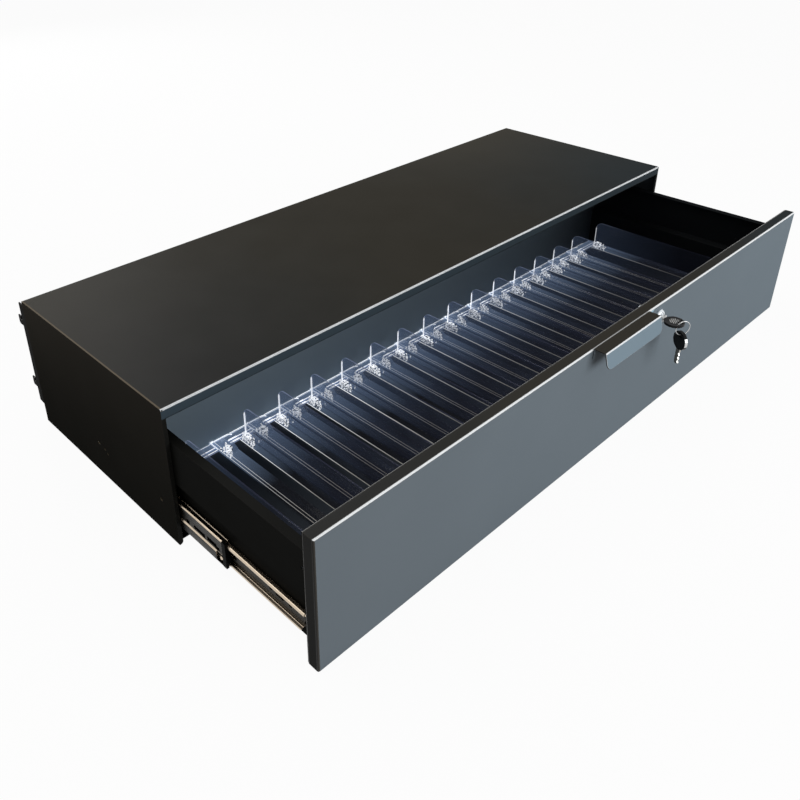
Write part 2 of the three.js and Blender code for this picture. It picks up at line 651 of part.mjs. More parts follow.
// An upright plate leant outwards: its top edge stays and its lower edge comes forward.
function leant(geometry, top) {
  const places = geometry.attributes.position;
  const slope = HANDLE_FLARE / HANDLE_DROP;
  for (let i = 0; i < places.count; i += 1) {
    const drop = Math.round((top - places.getZ(i)) / HANDLE_FLARE_GRID) * HANDLE_FLARE_GRID;
    places.setZ(i, top - drop);
    places.setY(i, places.getY(i) - slope * drop);
  }
  return geometry;
}

// A folded pull: a flange on the panel's face, a short top plate and a front face
// that leans out, with rounded lower corners.
function handle() {
  const left = HANDLE_OFFSET - HANDLE_WIDTH / 2;
  const right = HANDLE_OFFSET + HANDLE_WIDTH / 2;
  const top = PANEL_TOP_Z + HANDLE_RISE;
  const front = PANEL_FRONT_Y - HANDLE_REACH;
  const bottom = top - HANDLE_DROP;
  const face = new THREE.Shape();
  face.moveTo(left, top);
  face.lineTo(left, bottom + HANDLE_CORNER);
  face.absarc(left + HANDLE_CORNER, bottom + HANDLE_CORNER, HANDLE_CORNER, Math.PI, 1.5 * Math.PI, false);
  face.lineTo(right - HANDLE_CORNER, bottom);
  face.absarc(
    right - HANDLE_CORNER, bottom + HANDLE_CORNER, HANDLE_CORNER,
    1.5 * Math.PI, 2 * Math.PI, false,
  );
  face.lineTo(right, top);
  const facePlate = leant(prism(face, 'XZ', front, front + HANDLE_SHEET), top);
  const topPlate = box(left, right, front, PANEL_FRONT_Y, top - HANDLE_SHEET, top);
  const flange = box(
    left, right, PANEL_FRONT_Y - HANDLE_SHEET, PANEL_FRONT_Y, top - HANDLE_FLANGE_DROP, top,
  );
  return part('handle', joined(facePlate, topPlate, flange), handlePaint);
}

// Lock

function lockBody() {
  const bezel = rodAlongY(
    LOCK_X, LOCK_Z, LOCK_BEZEL_DIAMETER, BEZEL_FRONT_Y, PANEL_FRONT_Y, LOCK_SEGMENTS,
  );
  const barrel = rodAlongY(
    LOCK_X, LOCK_Z, LOCK_BARREL_DIAMETER, BEZEL_FRONT_Y, BARREL_REAR_Y, LOCK_SEGMENTS,
  );
  const bore = rodAlongY(
    LOCK_X, LOCK_Z, LOCK_PLUG_DIAMETER + 2 * LOCK_CLEARANCE,
    BEZEL_FRONT_Y - CUT_MARGIN, BARREL_REAR_Y + CUT_MARGIN, LOCK_SEGMENTS,
  );
  return part('lock_body', joined(bezel, barrel).subtract(solid(bore)), chrome);
}

function lockNut() {
  const nut = rodAlongY(
    LOCK_X, LOCK_Z, LOCK_NUT_ACROSS / Math.cos(Math.PI / 6),
    PANEL_REAR_Y, PANEL_REAR_Y + LOCK_NUT_THICKNESS, 6,
  );
  const bore = rodAlongY(
    LOCK_X, LOCK_Z, LOCK_HOLE_DIAMETER,
    PANEL_REAR_Y - CUT_MARGIN, PANEL_REAR_Y + LOCK_NUT_THICKNESS + CUT_MARGIN, LOCK_SEGMENTS,
  );
  return part('lock_nut', solid(nut).subtract(solid(bore)), zincSteel);
}

// The turning plug with its keyway, the stem that carries the cam, and the cam screw.
function lockPlug() {
  const front = BEZEL_FRONT_Y + LOCK_CLEARANCE;
  const stemEnd = CAM_FRONT_Y + CAM_THICKNESS;
  const core = rodAlongY(LOCK_X, LOCK_Z, LOCK_PLUG_DIAMETER, front, CAM_FRONT_Y, LOCK_SEGMENTS);
  const stem = rodAlongY(LOCK_X, LOCK_Z, CAM_STEM_DIAMETER, CAM_FRONT_Y, stemEnd, LOCK_SEGMENTS);
  const screw = rodAlongY(
    LOCK_X, LOCK_Z, CAM_SCREW_DIAMETER, stemEnd, stemEnd + CAM_SCREW_HEIGHT, LOCK_SEGMENTS,
  );
  const halfWidth = KEY_BLADE_WIDTH / 2 + LOCK_CLEARANCE;
  const halfThickness = KEY_BLADE_THICKNESS / 2 + LOCK_CLEARANCE;
  const keyTip = KEY_HEAD_REAR_Y + KEY_BLADE_LENGTH;
  const keyway = box(
    LOCK_X - halfWidth, LOCK_X + halfWidth, front - CUT_MARGIN, keyTip + LOCK_CLEARANCE,
    LOCK_Z - halfThickness, LOCK_Z + halfThickness,
  );
  return part('lock_plug', joined(core, stem, screw).subtract(solid(keyway)), chrome);
}

// The cam points to the right when unlocked and up behind the housing's lip when locked.
function lockCam() {
  const half = CAM_WIDTH / 2;
  const outline = new THREE.Shape();
  outline.absarc(LOCK_X, LOCK_Z, half, Math.PI / 2, 1.5 * Math.PI, false);
  outline.lineTo(LOCK_X + CAM_REACH, LOCK_Z - half);
  outline.lineTo(LOCK_X + CAM_REACH, LOCK_Z + half);
  outline.holes.push(circle(LOCK_X, LOCK_Z, CAM_STEM_DIAMETER + 2 * LOCK_CLEARANCE));
  return part('lock_cam', prism(outline, 'XZ', CAM_FRONT_Y, CAM_FRONT_Y + CAM_THICKNESS), zincSteel);
}

// Keys

// A key head in its own frame: its rim at zero, its length along +Y towards the blade,
// its flat face up, with a slot across it near the rim.
function keyHeadShape() {
  const outline = new THREE.Shape();
  outline.absellipse(0, KEY_HEAD_LENGTH / 2, KEY_HEAD_WIDTH / 2, KEY_HEAD_LENGTH / 2, 0, 2 * Math.PI);
  const slot = new THREE.Path();
  slot.absarc(KEY_SLOT_REACH, KEY_SLOT_MIDDLE, KEY_SLOT_END, -Math.PI / 2, Math.PI / 2, false);
  slot.absarc(-KEY_SLOT_REACH, KEY_SLOT_MIDDLE, KEY_SLOT_END, Math.PI / 2, 3 * Math.PI / 2, false);
  outline.holes.push(slot);
  const settings = {
    depth: KEY_HEAD_THICKNESS, bevelEnabled: false, curveSegments: KEY_SEGMENTS,
  };
  return new THREE.ExtrudeGeometry(outline, settings).translate(0, 0, -KEY_HEAD_THICKNESS / 2);
}

// The blade starts at the head and has three bit cuts in one edge.
function keyBladeShape() {
  const half = KEY_BLADE_WIDTH / 2;
  const start = KEY_HEAD_LENGTH;
  const step = KEY_BLADE_LENGTH / 8;
  const cut = KEY_BLADE_WIDTH / 5;
  const outline = [point(-half, start), point(half, start)];
  for (const i of [2, 4, 6]) {
    outline.push(point(half, start + (i - 1) * step));
    outline.push(point(half - cut, start + i * step));
  }
  outline.push(point(half, start + 7 * step));
  outline.push(point(0, start + KEY_BLADE_LENGTH));
  outline.push(point(-half, start + 7 * step));
  const settings = { depth: KEY_BLADE_THICKNESS, bevelEnabled: false };
  const geometry = new THREE.ExtrudeGeometry(new THREE.Shape(outline), settings);
  return geometry.translate(0, 0, -KEY_BLADE_THICKNESS / 2);
}

function keyInLock() {
  const place = new THREE.Matrix4().setPosition(LOCK_X, KEY_RIM_Y, LOCK_Z);
  return [
    part('key_head', keyHeadShape().applyMatrix4(place), blackPlastic),
    part('key_blade', keyBladeShape().applyMatrix4(place), keySteel),
  ];
}

// How far a ray from a point inside an ellipse runs until it leaves the ellipse. The
// point is given from the ellipse's centre.
function wayOut(x, y, direction, halfWidth, halfLength) {
  const a = (direction.x / halfWidth) ** 2 + (direction.y / halfLength) ** 2;
  const b = x * direction.x / halfWidth ** 2 + y * direction.y / halfLength ** 2;
  const c = (x / halfWidth) ** 2 + (y / halfLength) ** 2 - 1;
  return (Math.sqrt(b * b - a * c) - b) / a;
}

// The ring hangs round the bridge between the key's slot and rim, in an upright plane
// that is turned from straight ahead to the right.
function ringCentre() {
  const along = new THREE.Vector2(Math.sin(RING_TURN), -Math.cos(RING_TURN));
  const slotEdge = wayOut(-KEY_SLOT_REACH, 0, along, KEY_SLOT_END, KEY_SLOT_END);
  const fromMiddle = KEY_SLOT_MIDDLE - KEY_HEAD_LENGTH / 2;
  const rim = wayOut(0, fromMiddle, along, KEY_HEAD_WIDTH / 2, KEY_HEAD_LENGTH / 2);
  const out = (rim + slotEdge) / 2;
  const clearRadius = RING_INNER_RADIUS - LOCK_CLEARANCE;
  const drop = Math.sqrt(clearRadius ** 2 - ((rim - slotEdge) / 2) ** 2);
  return new THREE.Vector3(
    LOCK_X + along.x * out,
    KEY_RIM_Y + KEY_SLOT_MIDDLE + along.y * out,
    LOCK_Z + KEY_HEAD_THICKNESS / 2 - drop,
  );
}

function keyRing() {
  const ring = new THREE.TorusGeometry(RING_RADIUS, RING_WIRE / 2, RING_SIDES, RING_STEPS);
  const centre = ringCentre();
  ring.rotateY(Math.PI / 2).rotateZ(RING_TURN).translate(centre.x, centre.y, centre.z);
  return part('key_ring', ring, keySteel);
}

// The spare key hangs from the bottom of the ring, blade down and square to the ring.
function spareKey() {
  const centre = ringCentre();
  const rimZ = centre.z - RING_INNER_RADIUS + LOCK_CLEARANCE + KEY_SLOT_BRIDGE;
  const place = new THREE.Matrix4()
    .makeRotationZ(RING_TURN - Math.PI)
    .multiply(new THREE.Matrix4().makeRotationX(-Math.PI / 2))
    .setPosition(centre.x, centre.y, rimZ);
  return [
    part('spare_key_head', keyHeadShape().applyMatrix4(place), blackPlastic),
    part('spare_key_blade', keyBladeShape().applyMatrix4(place), keySteel),
  ];
}

// Clear tray

function trackLeftX(index) {
  return FIRST_DIVIDER_X - TRACK_BEFORE_DIVIDER + index * DIVIDER_PITCH;
}

// The frame that the tray clips into: a rail across the drawer at each end, with two
// low ribs that stop at each side of every track, joined by a strip at each side.
function trayFrame() {
  const half = FLOOR_HALF_WIDTH - RAIL_END_GAP;
  const stops = [-half];
  for (let i = 0; i < TRACKS; i += 1) {
    stops.push(trackLeftX(i) - TRAY_GAP, trackLeftX(i) + TRACK_WIDTH + TRAY_GAP);
  }
  stops.push(half);
  const pieces = [
    box(-half, FRAME_SIDE_WIDTH - half, TRAY_FRONT_Y, TRAY_REAR_Y, FLOOR_TOP_Z, RAIL_TOP_Z),
    box(half - FRAME_SIDE_WIDTH, half, TRAY_FRONT_Y, TRAY_REAR_Y, FLOOR_TOP_Z, RAIL_TOP_Z),
  ];
  for (const [start, direction] of [[TRAY_REAR_Y, -1], [TRAY_FRONT_Y, 1]]) {
    const end = start + direction * RAIL_WIDTH;
    pieces.push(box(-half, half, Math.min(start, end), Math.max(start, end), FLOOR_TOP_Z, RAIL_TOP_Z));
    for (const back of [0, RAIL_RIB_SPACING]) {
      const edge = end - direction * back;
      const inside = edge - direction * RAIL_RIB_WIDTH;
      for (let i = 0; i < stops.length; i += 2) {
        pieces.push(box(
          stops[i], stops[i + 1], Math.min(edge, inside), Math.max(edge, inside),
          FLOOR_TOP_Z, RAIL_TOP_Z + RAIL_RIB_HEIGHT,
        ));
      }
    }
  }
  return part('tray_frame', joined(...pieces), clearPlastic);
}

// An upright wall on a flat foot, with a windowed clip on the left of its rear end.
// The wall stands on the plane X = 0.
function dividerShape() {
  const top = FLOOR_TOP_Z + DIVIDER_HEIGHT;
  const wall = new THREE.Shape();
  wall.moveTo(DIVIDER_FRONT_Y, FLOOR_TOP_Z);
  wall.lineTo(DIVIDER_REAR_Y, FLOOR_TOP_Z);
  wall.lineTo(DIVIDER_REAR_Y, top - DIVIDER_CORNER);
  wall.absarc(DIVIDER_REAR_Y - DIVIDER_CORNER, top - DIVIDER_CORNER, DIVIDER_CORNER, 0, Math.PI / 2, false);
  wall.lineTo(DIVIDER_FRONT_Y + DIVIDER_CORNER, top);
  wall.absarc(
    DIVIDER_FRONT_Y + DIVIDER_CORNER, top - DIVIDER_CORNER, DIVIDER_CORNER,
    Math.PI / 2, Math.PI, false,
  );
  const halfWall = DIVIDER_WALL / 2;
  const halfFoot = DIVIDER_FOOT_WIDTH / 2;
  const foot = box(
    -halfFoot, halfFoot, DIVIDER_FRONT_Y, DIVIDER_REAR_Y, FLOOR_TOP_Z, FOOT_TOP_Z,
  );
  const clip = new THREE.Shape([
    point(DIVIDER_REAR_Y - CLIP_LENGTH, FLOOR_TOP_Z),
    point(DIVIDER_REAR_Y, FLOOR_TOP_Z),
    point(DIVIDER_REAR_Y, FLOOR_TOP_Z + CLIP_HEIGHT),
    point(DIVIDER_REAR_Y - CLIP_LENGTH / 2, FLOOR_TOP_Z + CLIP_HEIGHT),
  ]);
  const windowBase = FOOT_TOP_Z + DIVIDER_FOOT_THICKNESS;
  clip.holes.push(new THREE.Path([
    point(DIVIDER_REAR_Y - CLIP_WINDOW - halfWall, windowBase),
    point(DIVIDER_REAR_Y - halfWall, windowBase),
    point(DIVIDER_REAR_Y - halfWall, windowBase + CLIP_WINDOW),
    point(DIVIDER_REAR_Y - CLIP_WINDOW - halfWall, windowBase + CLIP_WINDOW),
  ]));
  return joined(
    prism(wall, 'YZ', -halfWall, halfWall),
    foot,
    prism(clip, 'YZ', -halfWall - CLIP_WIDTH, -halfWall),
  );
}

// A track strip on the rails, with two ribs along its left edge and a wedge catch
// near its rear end. Its left edge lies on the plane X = 0.
function trackShape() {
  const strip = box(0, TRACK_WIDTH, TRAY_FRONT_Y, TRAY_REAR_Y, RAIL_TOP_Z, TRACK_TOP_Z);
  const ribTop = TRACK_TOP_Z + TRACK_RIB_HEIGHT;
  const ribs = [0, TRACK_RIB_SPACING].map((start) => box(
    start, start + TRACK_RIB_WIDTH, TRAY_FRONT_Y, TRAY_REAR_Y, RAIL_TOP_Z, ribTop,
  ));
  const catchRear = DIVIDER_REAR_Y;
  const wedge = new THREE.Shape([
    point(catchRear - CATCH_LENGTH, RAIL_TOP_Z),
    point(catchRear, RAIL_TOP_Z),
    point(catchRear, TRACK_TOP_Z + CATCH_HEIGHT),
    point(catchRear - CATCH_LENGTH / 3, TRACK_TOP_Z + CATCH_HEIGHT),
  ]);
  const catchPiece = prism(wedge, 'YZ', TRACK_WIDTH - CATCH_WIDTH, TRACK_WIDTH);
  return joined(strip, ...ribs, catchPiece);
}

// Copies of one shape along X, each a piece of its own.
function row(name, shape, places) {
  return places.map((x, i) => {
    const copy = part(`${name}_${String(i + 1).padStart(2, '0')}`, shape, clearPlastic);
    copy.position.x = x;
    return copy;
  });
}

function dividers() {
  const places = [LEFT_DIVIDER_X];
  for (let i = 0; i < INNER_DIVIDERS; i += 1) {
    places.push(FIRST_DIVIDER_X + i * DIVIDER_PITCH);
  }
  places.push(RIGHT_DIVIDER_X);
  return row('divider', dividerShape(), places);
}

function trackStrips() {
  const places = Array.from({ length: TRACKS }, (_, i) => trackLeftX(i));
  return row('track_strip', trackShape(), places);
}

// Assembly

function housing() {
  const group = new THREE.Group();
  group.add(housingShell(), housingBack());
  for (const side of [LEFT, RIGHT]) {
    group.add(hookBracket(side), cabinetMember(side));
  }
  return group;
}

function middleSlide(side) {
  const group = new THREE.Group();
  group.add(middleMember(side), slideBumper(side));
  return group;
}

function drawer() {
  const group = new THREE.Group();
  group.add(panelSkin(), panelLiner(), handle(), drawerFloor(), drawerRearWall());
  for (const side of [LEFT, RIGHT]) {
    group.add(drawerSide(side), drawerMember(side));
  }
  group.add(lockBody(), lockNut(), trayFrame(), ...dividers(), ...trackStrips());
  return group;
}

function lockParts() {
  const group = new THREE.Group();
  group.add(lockPlug(), lockCam(), ...keyInLock(), keyRing(), ...spareKey());
  return group;
}

const unit = new THREE.Group();
unit.add(housing(), middleSlide(LEFT), middleSlide(RIGHT), drawer(), lockParts());
unit.position.set(0, -HOUSING_DEPTH / 2, -HOUSING_HEIGHT);

export default unit;
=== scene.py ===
"""Looks of a wide lockable drawer unit: folded housing, drawer on ball-bearing slides,
clear tray of lane dividers, folded pull, cam lock with a key and a spare on a ring.

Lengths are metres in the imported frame: the origin is the centre of the housing's flat
top, +X to the right seen from the front, +Y to the rear, +Z up.
"""

import logging
import math
from collections.abc import Callable, Iterator
from contextlib import contextmanager
from dataclasses import dataclass
from enum import Enum
from functools import cache

import bmesh
import bpy
from mathutils import Matrix, Vector


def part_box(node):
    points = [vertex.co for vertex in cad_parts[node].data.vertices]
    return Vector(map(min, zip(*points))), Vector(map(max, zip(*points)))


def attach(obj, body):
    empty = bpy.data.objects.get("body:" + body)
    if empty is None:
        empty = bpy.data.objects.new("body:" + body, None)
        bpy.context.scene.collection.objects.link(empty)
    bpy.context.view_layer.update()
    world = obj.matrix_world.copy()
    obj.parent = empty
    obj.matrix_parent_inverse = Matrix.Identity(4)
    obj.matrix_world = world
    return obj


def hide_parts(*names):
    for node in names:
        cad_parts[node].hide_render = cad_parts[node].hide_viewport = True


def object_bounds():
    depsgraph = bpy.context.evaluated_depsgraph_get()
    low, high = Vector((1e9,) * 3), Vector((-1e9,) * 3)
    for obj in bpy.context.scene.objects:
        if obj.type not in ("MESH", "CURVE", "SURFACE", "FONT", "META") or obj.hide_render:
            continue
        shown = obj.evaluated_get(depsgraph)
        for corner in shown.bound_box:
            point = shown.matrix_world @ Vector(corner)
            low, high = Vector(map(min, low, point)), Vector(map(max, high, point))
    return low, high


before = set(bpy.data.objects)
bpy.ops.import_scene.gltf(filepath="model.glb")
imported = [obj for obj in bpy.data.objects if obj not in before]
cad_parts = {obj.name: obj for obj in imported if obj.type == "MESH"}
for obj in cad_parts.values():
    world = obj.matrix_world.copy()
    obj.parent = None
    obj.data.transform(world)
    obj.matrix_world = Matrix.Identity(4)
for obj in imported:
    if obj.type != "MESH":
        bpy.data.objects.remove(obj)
CAD_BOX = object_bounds()

LOG = logging.getLogger("drawer_unit")
MM = 0.001
FLAT = math.radians(1.0)
SHARP = math.radians(32)
OUTER_GAP = 0.05 * MM
LONG_BEND = 60 * MM
WHITE = (1.0, 1.0, 1.0, 1.0)

Colour = tuple[float, float, float, float]
Span = tuple[float, float]
Points = list[Span]
Solid = bmesh.types.BMesh


class Side(Enum):
    """One end of the unit, with the word in node names and its direction along X."""

    LEFT = ("left", -1)
    RIGHT = ("right", 1)

    def __init__(self, word: str, sign: int) -> None:
        """Keeps the word and the direction."""
        self.word, self.sign = word, sign


class Body(Enum):
    """The bodies that pieces ride on."""

    HOUSING = "housing"
    MIDDLE_LEFT = "slide_middle_left"
    MIDDLE_RIGHT = "slide_middle_right"
    DRAWER = "drawer"
    CYLINDER = "lock_cylinder"
    KEY = "key"
    RING = "ring"
    SPARE = "spare_key"


class Slot(Enum):
    """The record's material slots."""

    HOUSING_PAINT = "housing_paint"
    DRAWER_PAINT = "drawer_paint"
    FRONT_PAINT = "front_paint"
    HANDLE_PAINT = "handle_paint"
    SLIDE_STEEL = "slide_steel"
    CHROME = "lock_chrome"
    KEY_STEEL = "key_steel"
    BLACK_PLASTIC = "black_plastic"
    CLEAR_PLASTIC = "clear_plastic"


# Node graphs


class Value:
    """An output of a node that takes part in Python expressions."""

    def __init__(self, graph: "Graph", node: bpy.types.Node, out: str | int = 0) -> None:
        """Keeps the graph, the node and the chosen output."""
        self.graph, self.node, self.out = graph, node, out

    @property
    def socket(self) -> bpy.types.NodeSocket:
        """The output socket."""
        return self.node.outputs[self.out]

    def __getitem__(self, out: str | int) -> "Value":
        """Another output of the same node."""
        return Value(self.graph, self.node, out)

    def __add__(self, other: "Value | float") -> "Value":
        """Sum."""
        return self.graph.maths("ADD", self, other)

    def __mul__(self, other: "Value | float") -> "Value":
        """Product."""
        return self.graph.maths("MULTIPLY", self, other)

    def __sub__(self, other: "Value | float") -> "Value":
        """Difference."""
        return self.graph.maths("SUBTRACT", self, other)

    def __rsub__(self, other: float) -> "Value":
        """Difference from a number."""
        return self.graph.maths("SUBTRACT", other, self)

    def __truediv__(self, other: "Value | float") -> "Value":
        """Quotient."""
        return self.graph.maths("DIVIDE", self, other)

    __radd__ = __add__
    __rmul__ = __mul__

    def clipped(self) -> "Value":
        """The value held between 0 and 1."""
        return self.graph.maths("ADD", self, 0.0, clamp=True)


class Graph:
    """The nodes of a material, of the world or of a Geometry Nodes group."""

    def __init__(self, tree: bpy.types.NodeTree) -> None:
        """Takes over a node tree and empties it."""
        self.tree = tree
        tree.nodes.clear()

    def add(self, kind: str, inputs: dict | None = None, out: str | int = 0,
            **settings: object) -> Value:
        """Adds one node.

        Args:
            kind: the node's type.
            inputs: values or links, by socket name or index.
            out: the output that the result stands for.
            settings: the node's properties, which are set before its sockets.

        Returns:
            The chosen output.
        """
        node = self.tree.nodes.new(kind)
        for key, value in settings.items():
            setattr(node, key, value)
        for key, value in (inputs or {}).items():
            if isinstance(value, Value):
                self.tree.links.new(value.socket, node.inputs[key])
            else:
                node.inputs[key].default_value = value
        return Value(self, node, out)

    def maths(self, operation: str, a: Value | float, b: Value | float,
              clamp: bool = False) -> Value:
        """Adds a Math node."""
        return self.add("ShaderNodeMath", {0: a, 1: b}, operation=operation, use_clamp=clamp)


class Shading(Graph):
    """The nodes of a new material, with the parts that the finishes share."""

    def __init__(self, name: str) -> None:
        """Makes an empty material.

        Args:
            name: the material's name.
        """
        self.material = bpy.data.materials.new(name)
        self.material.use_nodes = True
        super().__init__(self.material.node_tree)

    def mix(self, factor: Value | float, a: Value | Colour, b: Value | Colour) -> Value:
        """Mixes two colours."""
        return self.add("ShaderNodeMix", {0: factor, 6: a, 7: b}, 2, data_type="RGBA")

    def axis(self, letter: str, kind: str = "Object") -> Value:
        """One part of the object coordinates in metres, or of the "Normal"."""
        point = self.add("ShaderNodeTexCoord", out=kind)
        return self.add("ShaderNodeSeparateXYZ", {0: point}, letter)

    def noise(self, scale: float, detail: float = 3.0,
              stretch: tuple = (1.0, 1.0, 1.0)) -> Value:
        """Noise over the surface.

        Args:
            scale: cells per metre.
            detail: octaves.
            stretch: the scale along each axis.

        Returns:
            The noise, from 0 to 1.
        """
        point = self.add("ShaderNodeTexCoord", out="Object")
        place = self.add("ShaderNodeMapping", {"Vector": point, "Scale": stretch})
        return self.add("ShaderNodeTexNoise", {"Vector": place, "Scale": scale, "Detail": detail})

    def bump(self, height: Value, depth: float, strength: float) -> Value:
        """A bumped normal from a height from 0 to 1 and its depth in metres."""
        inputs = {"Strength": strength, "Distance": depth, "Height": height}
        return self.add("ShaderNodeBump", inputs)

    def principled(self, inputs: dict) -> Value:
        """A Principled shader."""
        return self.add("ShaderNodeBsdfPrincipled", inputs)

    def finish(self, shader: Value) -> bpy.types.Material:
        """Connects the shader to the output and returns the material."""
        self.add("ShaderNodeOutputMaterial", {"Surface": shader})
        return self.material


def srgb(red: int, green: int, blue: int) -> Colour:
    """A colour written as on screen, as linear light with alpha."""
    shares = [level / 255 for level in (red, green, blue)]
    return (*(s / 12.92 if s <= 0.04045 else ((s + 0.055) / 1.055) ** 2.4 for s in shares), 1.0)


# Finishes


@dataclass(frozen=True)
class PowderCoat:
    """A fine-textured satin powder coat on folded steel, with painted light and shade.

    Args:
        name: the material's name.
        colour: the colour at the left; its drift to far_colour is painted shading.
        far_colour: the colour at the right, the other end of that painted shading.
        rim_colour: the colour of its fine specks.
        roughness: its roughness.
        sheen: the share of bare gloss.
        reach: half the length over which the colour drifts.
        drift: how far clouds move the drift of that painted shading.
        mid_colour: the colour half way along that painted shading, or none.
        rear_light_colour: painted light towards the upper rear, or none.
        front_share: the part of that painted light that reaches the front.
        low_colour: the colour under the height low_under, or none.
        low_under: that height.
        fold_highlight: Y and Z places and reaches of a painted highlight on a fold along X, or
            none.
        left_edge_highlight: the place along X past which the edge has a painted highlight, or
            none.
        glint: X and Z places and reaches of one painted glint, or none.
    """

    name: str
    colour: Colour
    far_colour: Colour
    rim_colour: Colour
    roughness: float = 0.42
    sheen: float = 0.010
    reach: float = 0.5
    drift: float = 0.35
    mid_colour: Colour | None = None
    rear_light_colour: Colour | None = None
    front_share: float = 0.0
    low_colour: Colour | None = None
    low_under: float = 0.0
    fold_highlight: tuple[float, float, float, float] | None = None
    left_edge_highlight: float | None = None
    glint: tuple[float, float, float, float] | None = None

    def _rear_light_share(self, g: Shading) -> Value:
        """The share of the painted rear light: most at the upper rear, and at both ends.

        Args:
            g: the material's nodes.

        Returns:
            The share, from 0 to 1.
        """
        upward = (g.axis("Z") / 0.185 + 1).clipped()
        rearward = (g.axis("Y") / 0.322 + 0.5).clipped()
        aside = g.axis("X") + 0.1
        bow = (aside * aside * 4 + 0.2).clipped()
        reach = rearward * (rearward * 0.4 + 0.6) * (1 - self.front_share) + self.front_share
        return upward * (upward * 0.7 + 0.3) * reach * bow

    def _glinted(self, g: Shading, tone: Value) -> Value:
        """Paints a glint: one small bright spot of painted reflection.

        Args:
            g: the material's nodes.
            tone: the coat's colour.

        Returns:
            The colour with the painted glint.
        """
        x, z, reach_x, reach_z = self.glint
        across = g.maths("ABSOLUTE", g.axis("X") - x, 0.0) / reach_x
        down = g.maths("ABSOLUTE", g.axis("Z") - z, 0.0) / reach_z
        return g.mix(((1 - across - down) * 2.5).clipped(), tone, srgb(176, 208, 224))

    def _fold_highlighted(self, g: Shading, tone: Value) -> Value:
        """Paints a highlight on a fold that runs along X.

        Args:
            g: the material's nodes.
            tone: the coat's colour.

        Returns:
            The colour with the painted highlight on the fold.
        """
        y, z, reach_y, reach_z = self.fold_highlight
        behind = ((y + reach_y - g.axis("Y")) / 0.0004).clipped()
        below = ((g.axis("Z") - (z - reach_z)) / 0.0004).clipped()
        lit = behind * below * (0.72 + g.noise(24.0, 4.0) * 0.5)
        return g.mix(lit.clipped(), tone, (0.9, 0.92, 0.94, 1.0))

    def _tone(self, g: Shading, speck: Value) -> Value:
        """The coat's colour.

        Args:
            g: the material's nodes.
            speck: the fine grain.

        Returns:
            The colour, with the drift and middle band of its painted shading, its specks, and its
            painted highlights and glint.
        """
        # The drift from colour to far_colour along X is painted shading.
        along = (g.axis("X") / (2 * self.reach) + 0.5).clipped()
        drift = (along + (g.noise(3.0, 2.0) - 0.5) * self.drift).clipped()
        tone = g.mix(drift, self.colour, self.far_colour)
        # A band half way along the drift, part of the painted shading.
        if self.mid_colour is not None:
            band = drift * (1 - drift) * 4
            tone = g.mix(band * band, tone, self.mid_colour)
        # Painted light towards the upper rear: a painted sheen on the top, a paler upper rear on
        # the ends.
        if self.rear_light_colour is not None:
            tone = g.mix(self._rear_light_share(g), tone, self.rear_light_colour)
        if self.low_colour is not None:
            above = ((g.axis("Z") - self.low_under) / 0.0006).clipped()
            tone = g.mix(above, self.low_colour, tone)
        tone = g.mix((speck - 0.42) * 0.22, tone, self.rim_colour)
        # A pale painted highlight along the left edge.
        if self.left_edge_highlight is not None:
            aside = ((self.left_edge_highlight - g.axis("X")) / 0.0003).clipped()
            tone = g.mix(aside, tone, srgb(104, 94, 78))
        # A painted glint.
        if self.glint is not None:
            tone = self._glinted(g, tone)
        # A painted highlight along a fold, where the coat has one.
        return tone if self.fold_highlight is None else self._fold_highlighted(g, tone)

    def material(self) -> bpy.types.Material:
        """Builds the coat with orange peel, fine grain and smears in its gloss.

        Returns:
            The material.
        """
        g = Shading(self.name)
        speck, smear = g.noise(2600.0, 2.0), g.noise(14.0, 4.0)
        roughness = self.roughness + (smear - 0.5) * 0.14 + (speck - 0.5) * 0.06
        normal = g.bump(g.noise(420.0, 2.0) * 0.75 + speck * 0.25, 0.00006, 0.3)
        body = g.principled({
            "Base Color": self._tone(g, speck), "Roughness": roughness, "Normal": normal,
            "Specular IOR Level": 0.0,
        })
        gloss = g.principled({
            "Base Color": WHITE, "Metallic": 1.0, "Roughness": roughness, "Normal": normal,
        })
        share = self.sheen * (0.7 + smear * 0.6)
        return g.finish(g.add("ShaderNodeMixShader", {0: share, 1: body, 2: gloss}))


@dataclass(frozen=True)
class PaintedBendLight:
    """The rounded bend of a coated sheet: painted highlight facing up and forward, painted shade
    facing left.
    """

    name: str
    dull: Colour
    bright: Colour
    side: Colour

    def material(self) -> bpy.types.Material:
        """Builds the bend with its painted highlight broken into patches by noise.

        Returns:
            The material.
        """
        g = Shading(self.name)
        # A near-white painted highlight on bends that face forward and up.
        forward = (g.axis("Y", "Normal") * -2.6 - 0.1).clipped()
        upward = (g.axis("Z", "Normal") * 3.0).clipped()
        shine = (forward * upward * (0.8 + g.noise(30.0, 4.0) * 0.5)).clipped()
        # Painted shade on bends that face to the left.
        away = (g.axis("X", "Normal") * -2.4 - 0.9).clipped()
        speck = g.noise(1800.0, 2.0)
        return g.finish(g.principled({
            "Base Color": g.mix(away, g.mix(shine, self.dull, self.bright), self.side),
            "Roughness": 0.30 + (speck - 0.5) * 0.12,
            "Normal": g.bump(speck, 0.00003, 0.3), "Specular IOR Level": 0.12,
        }))


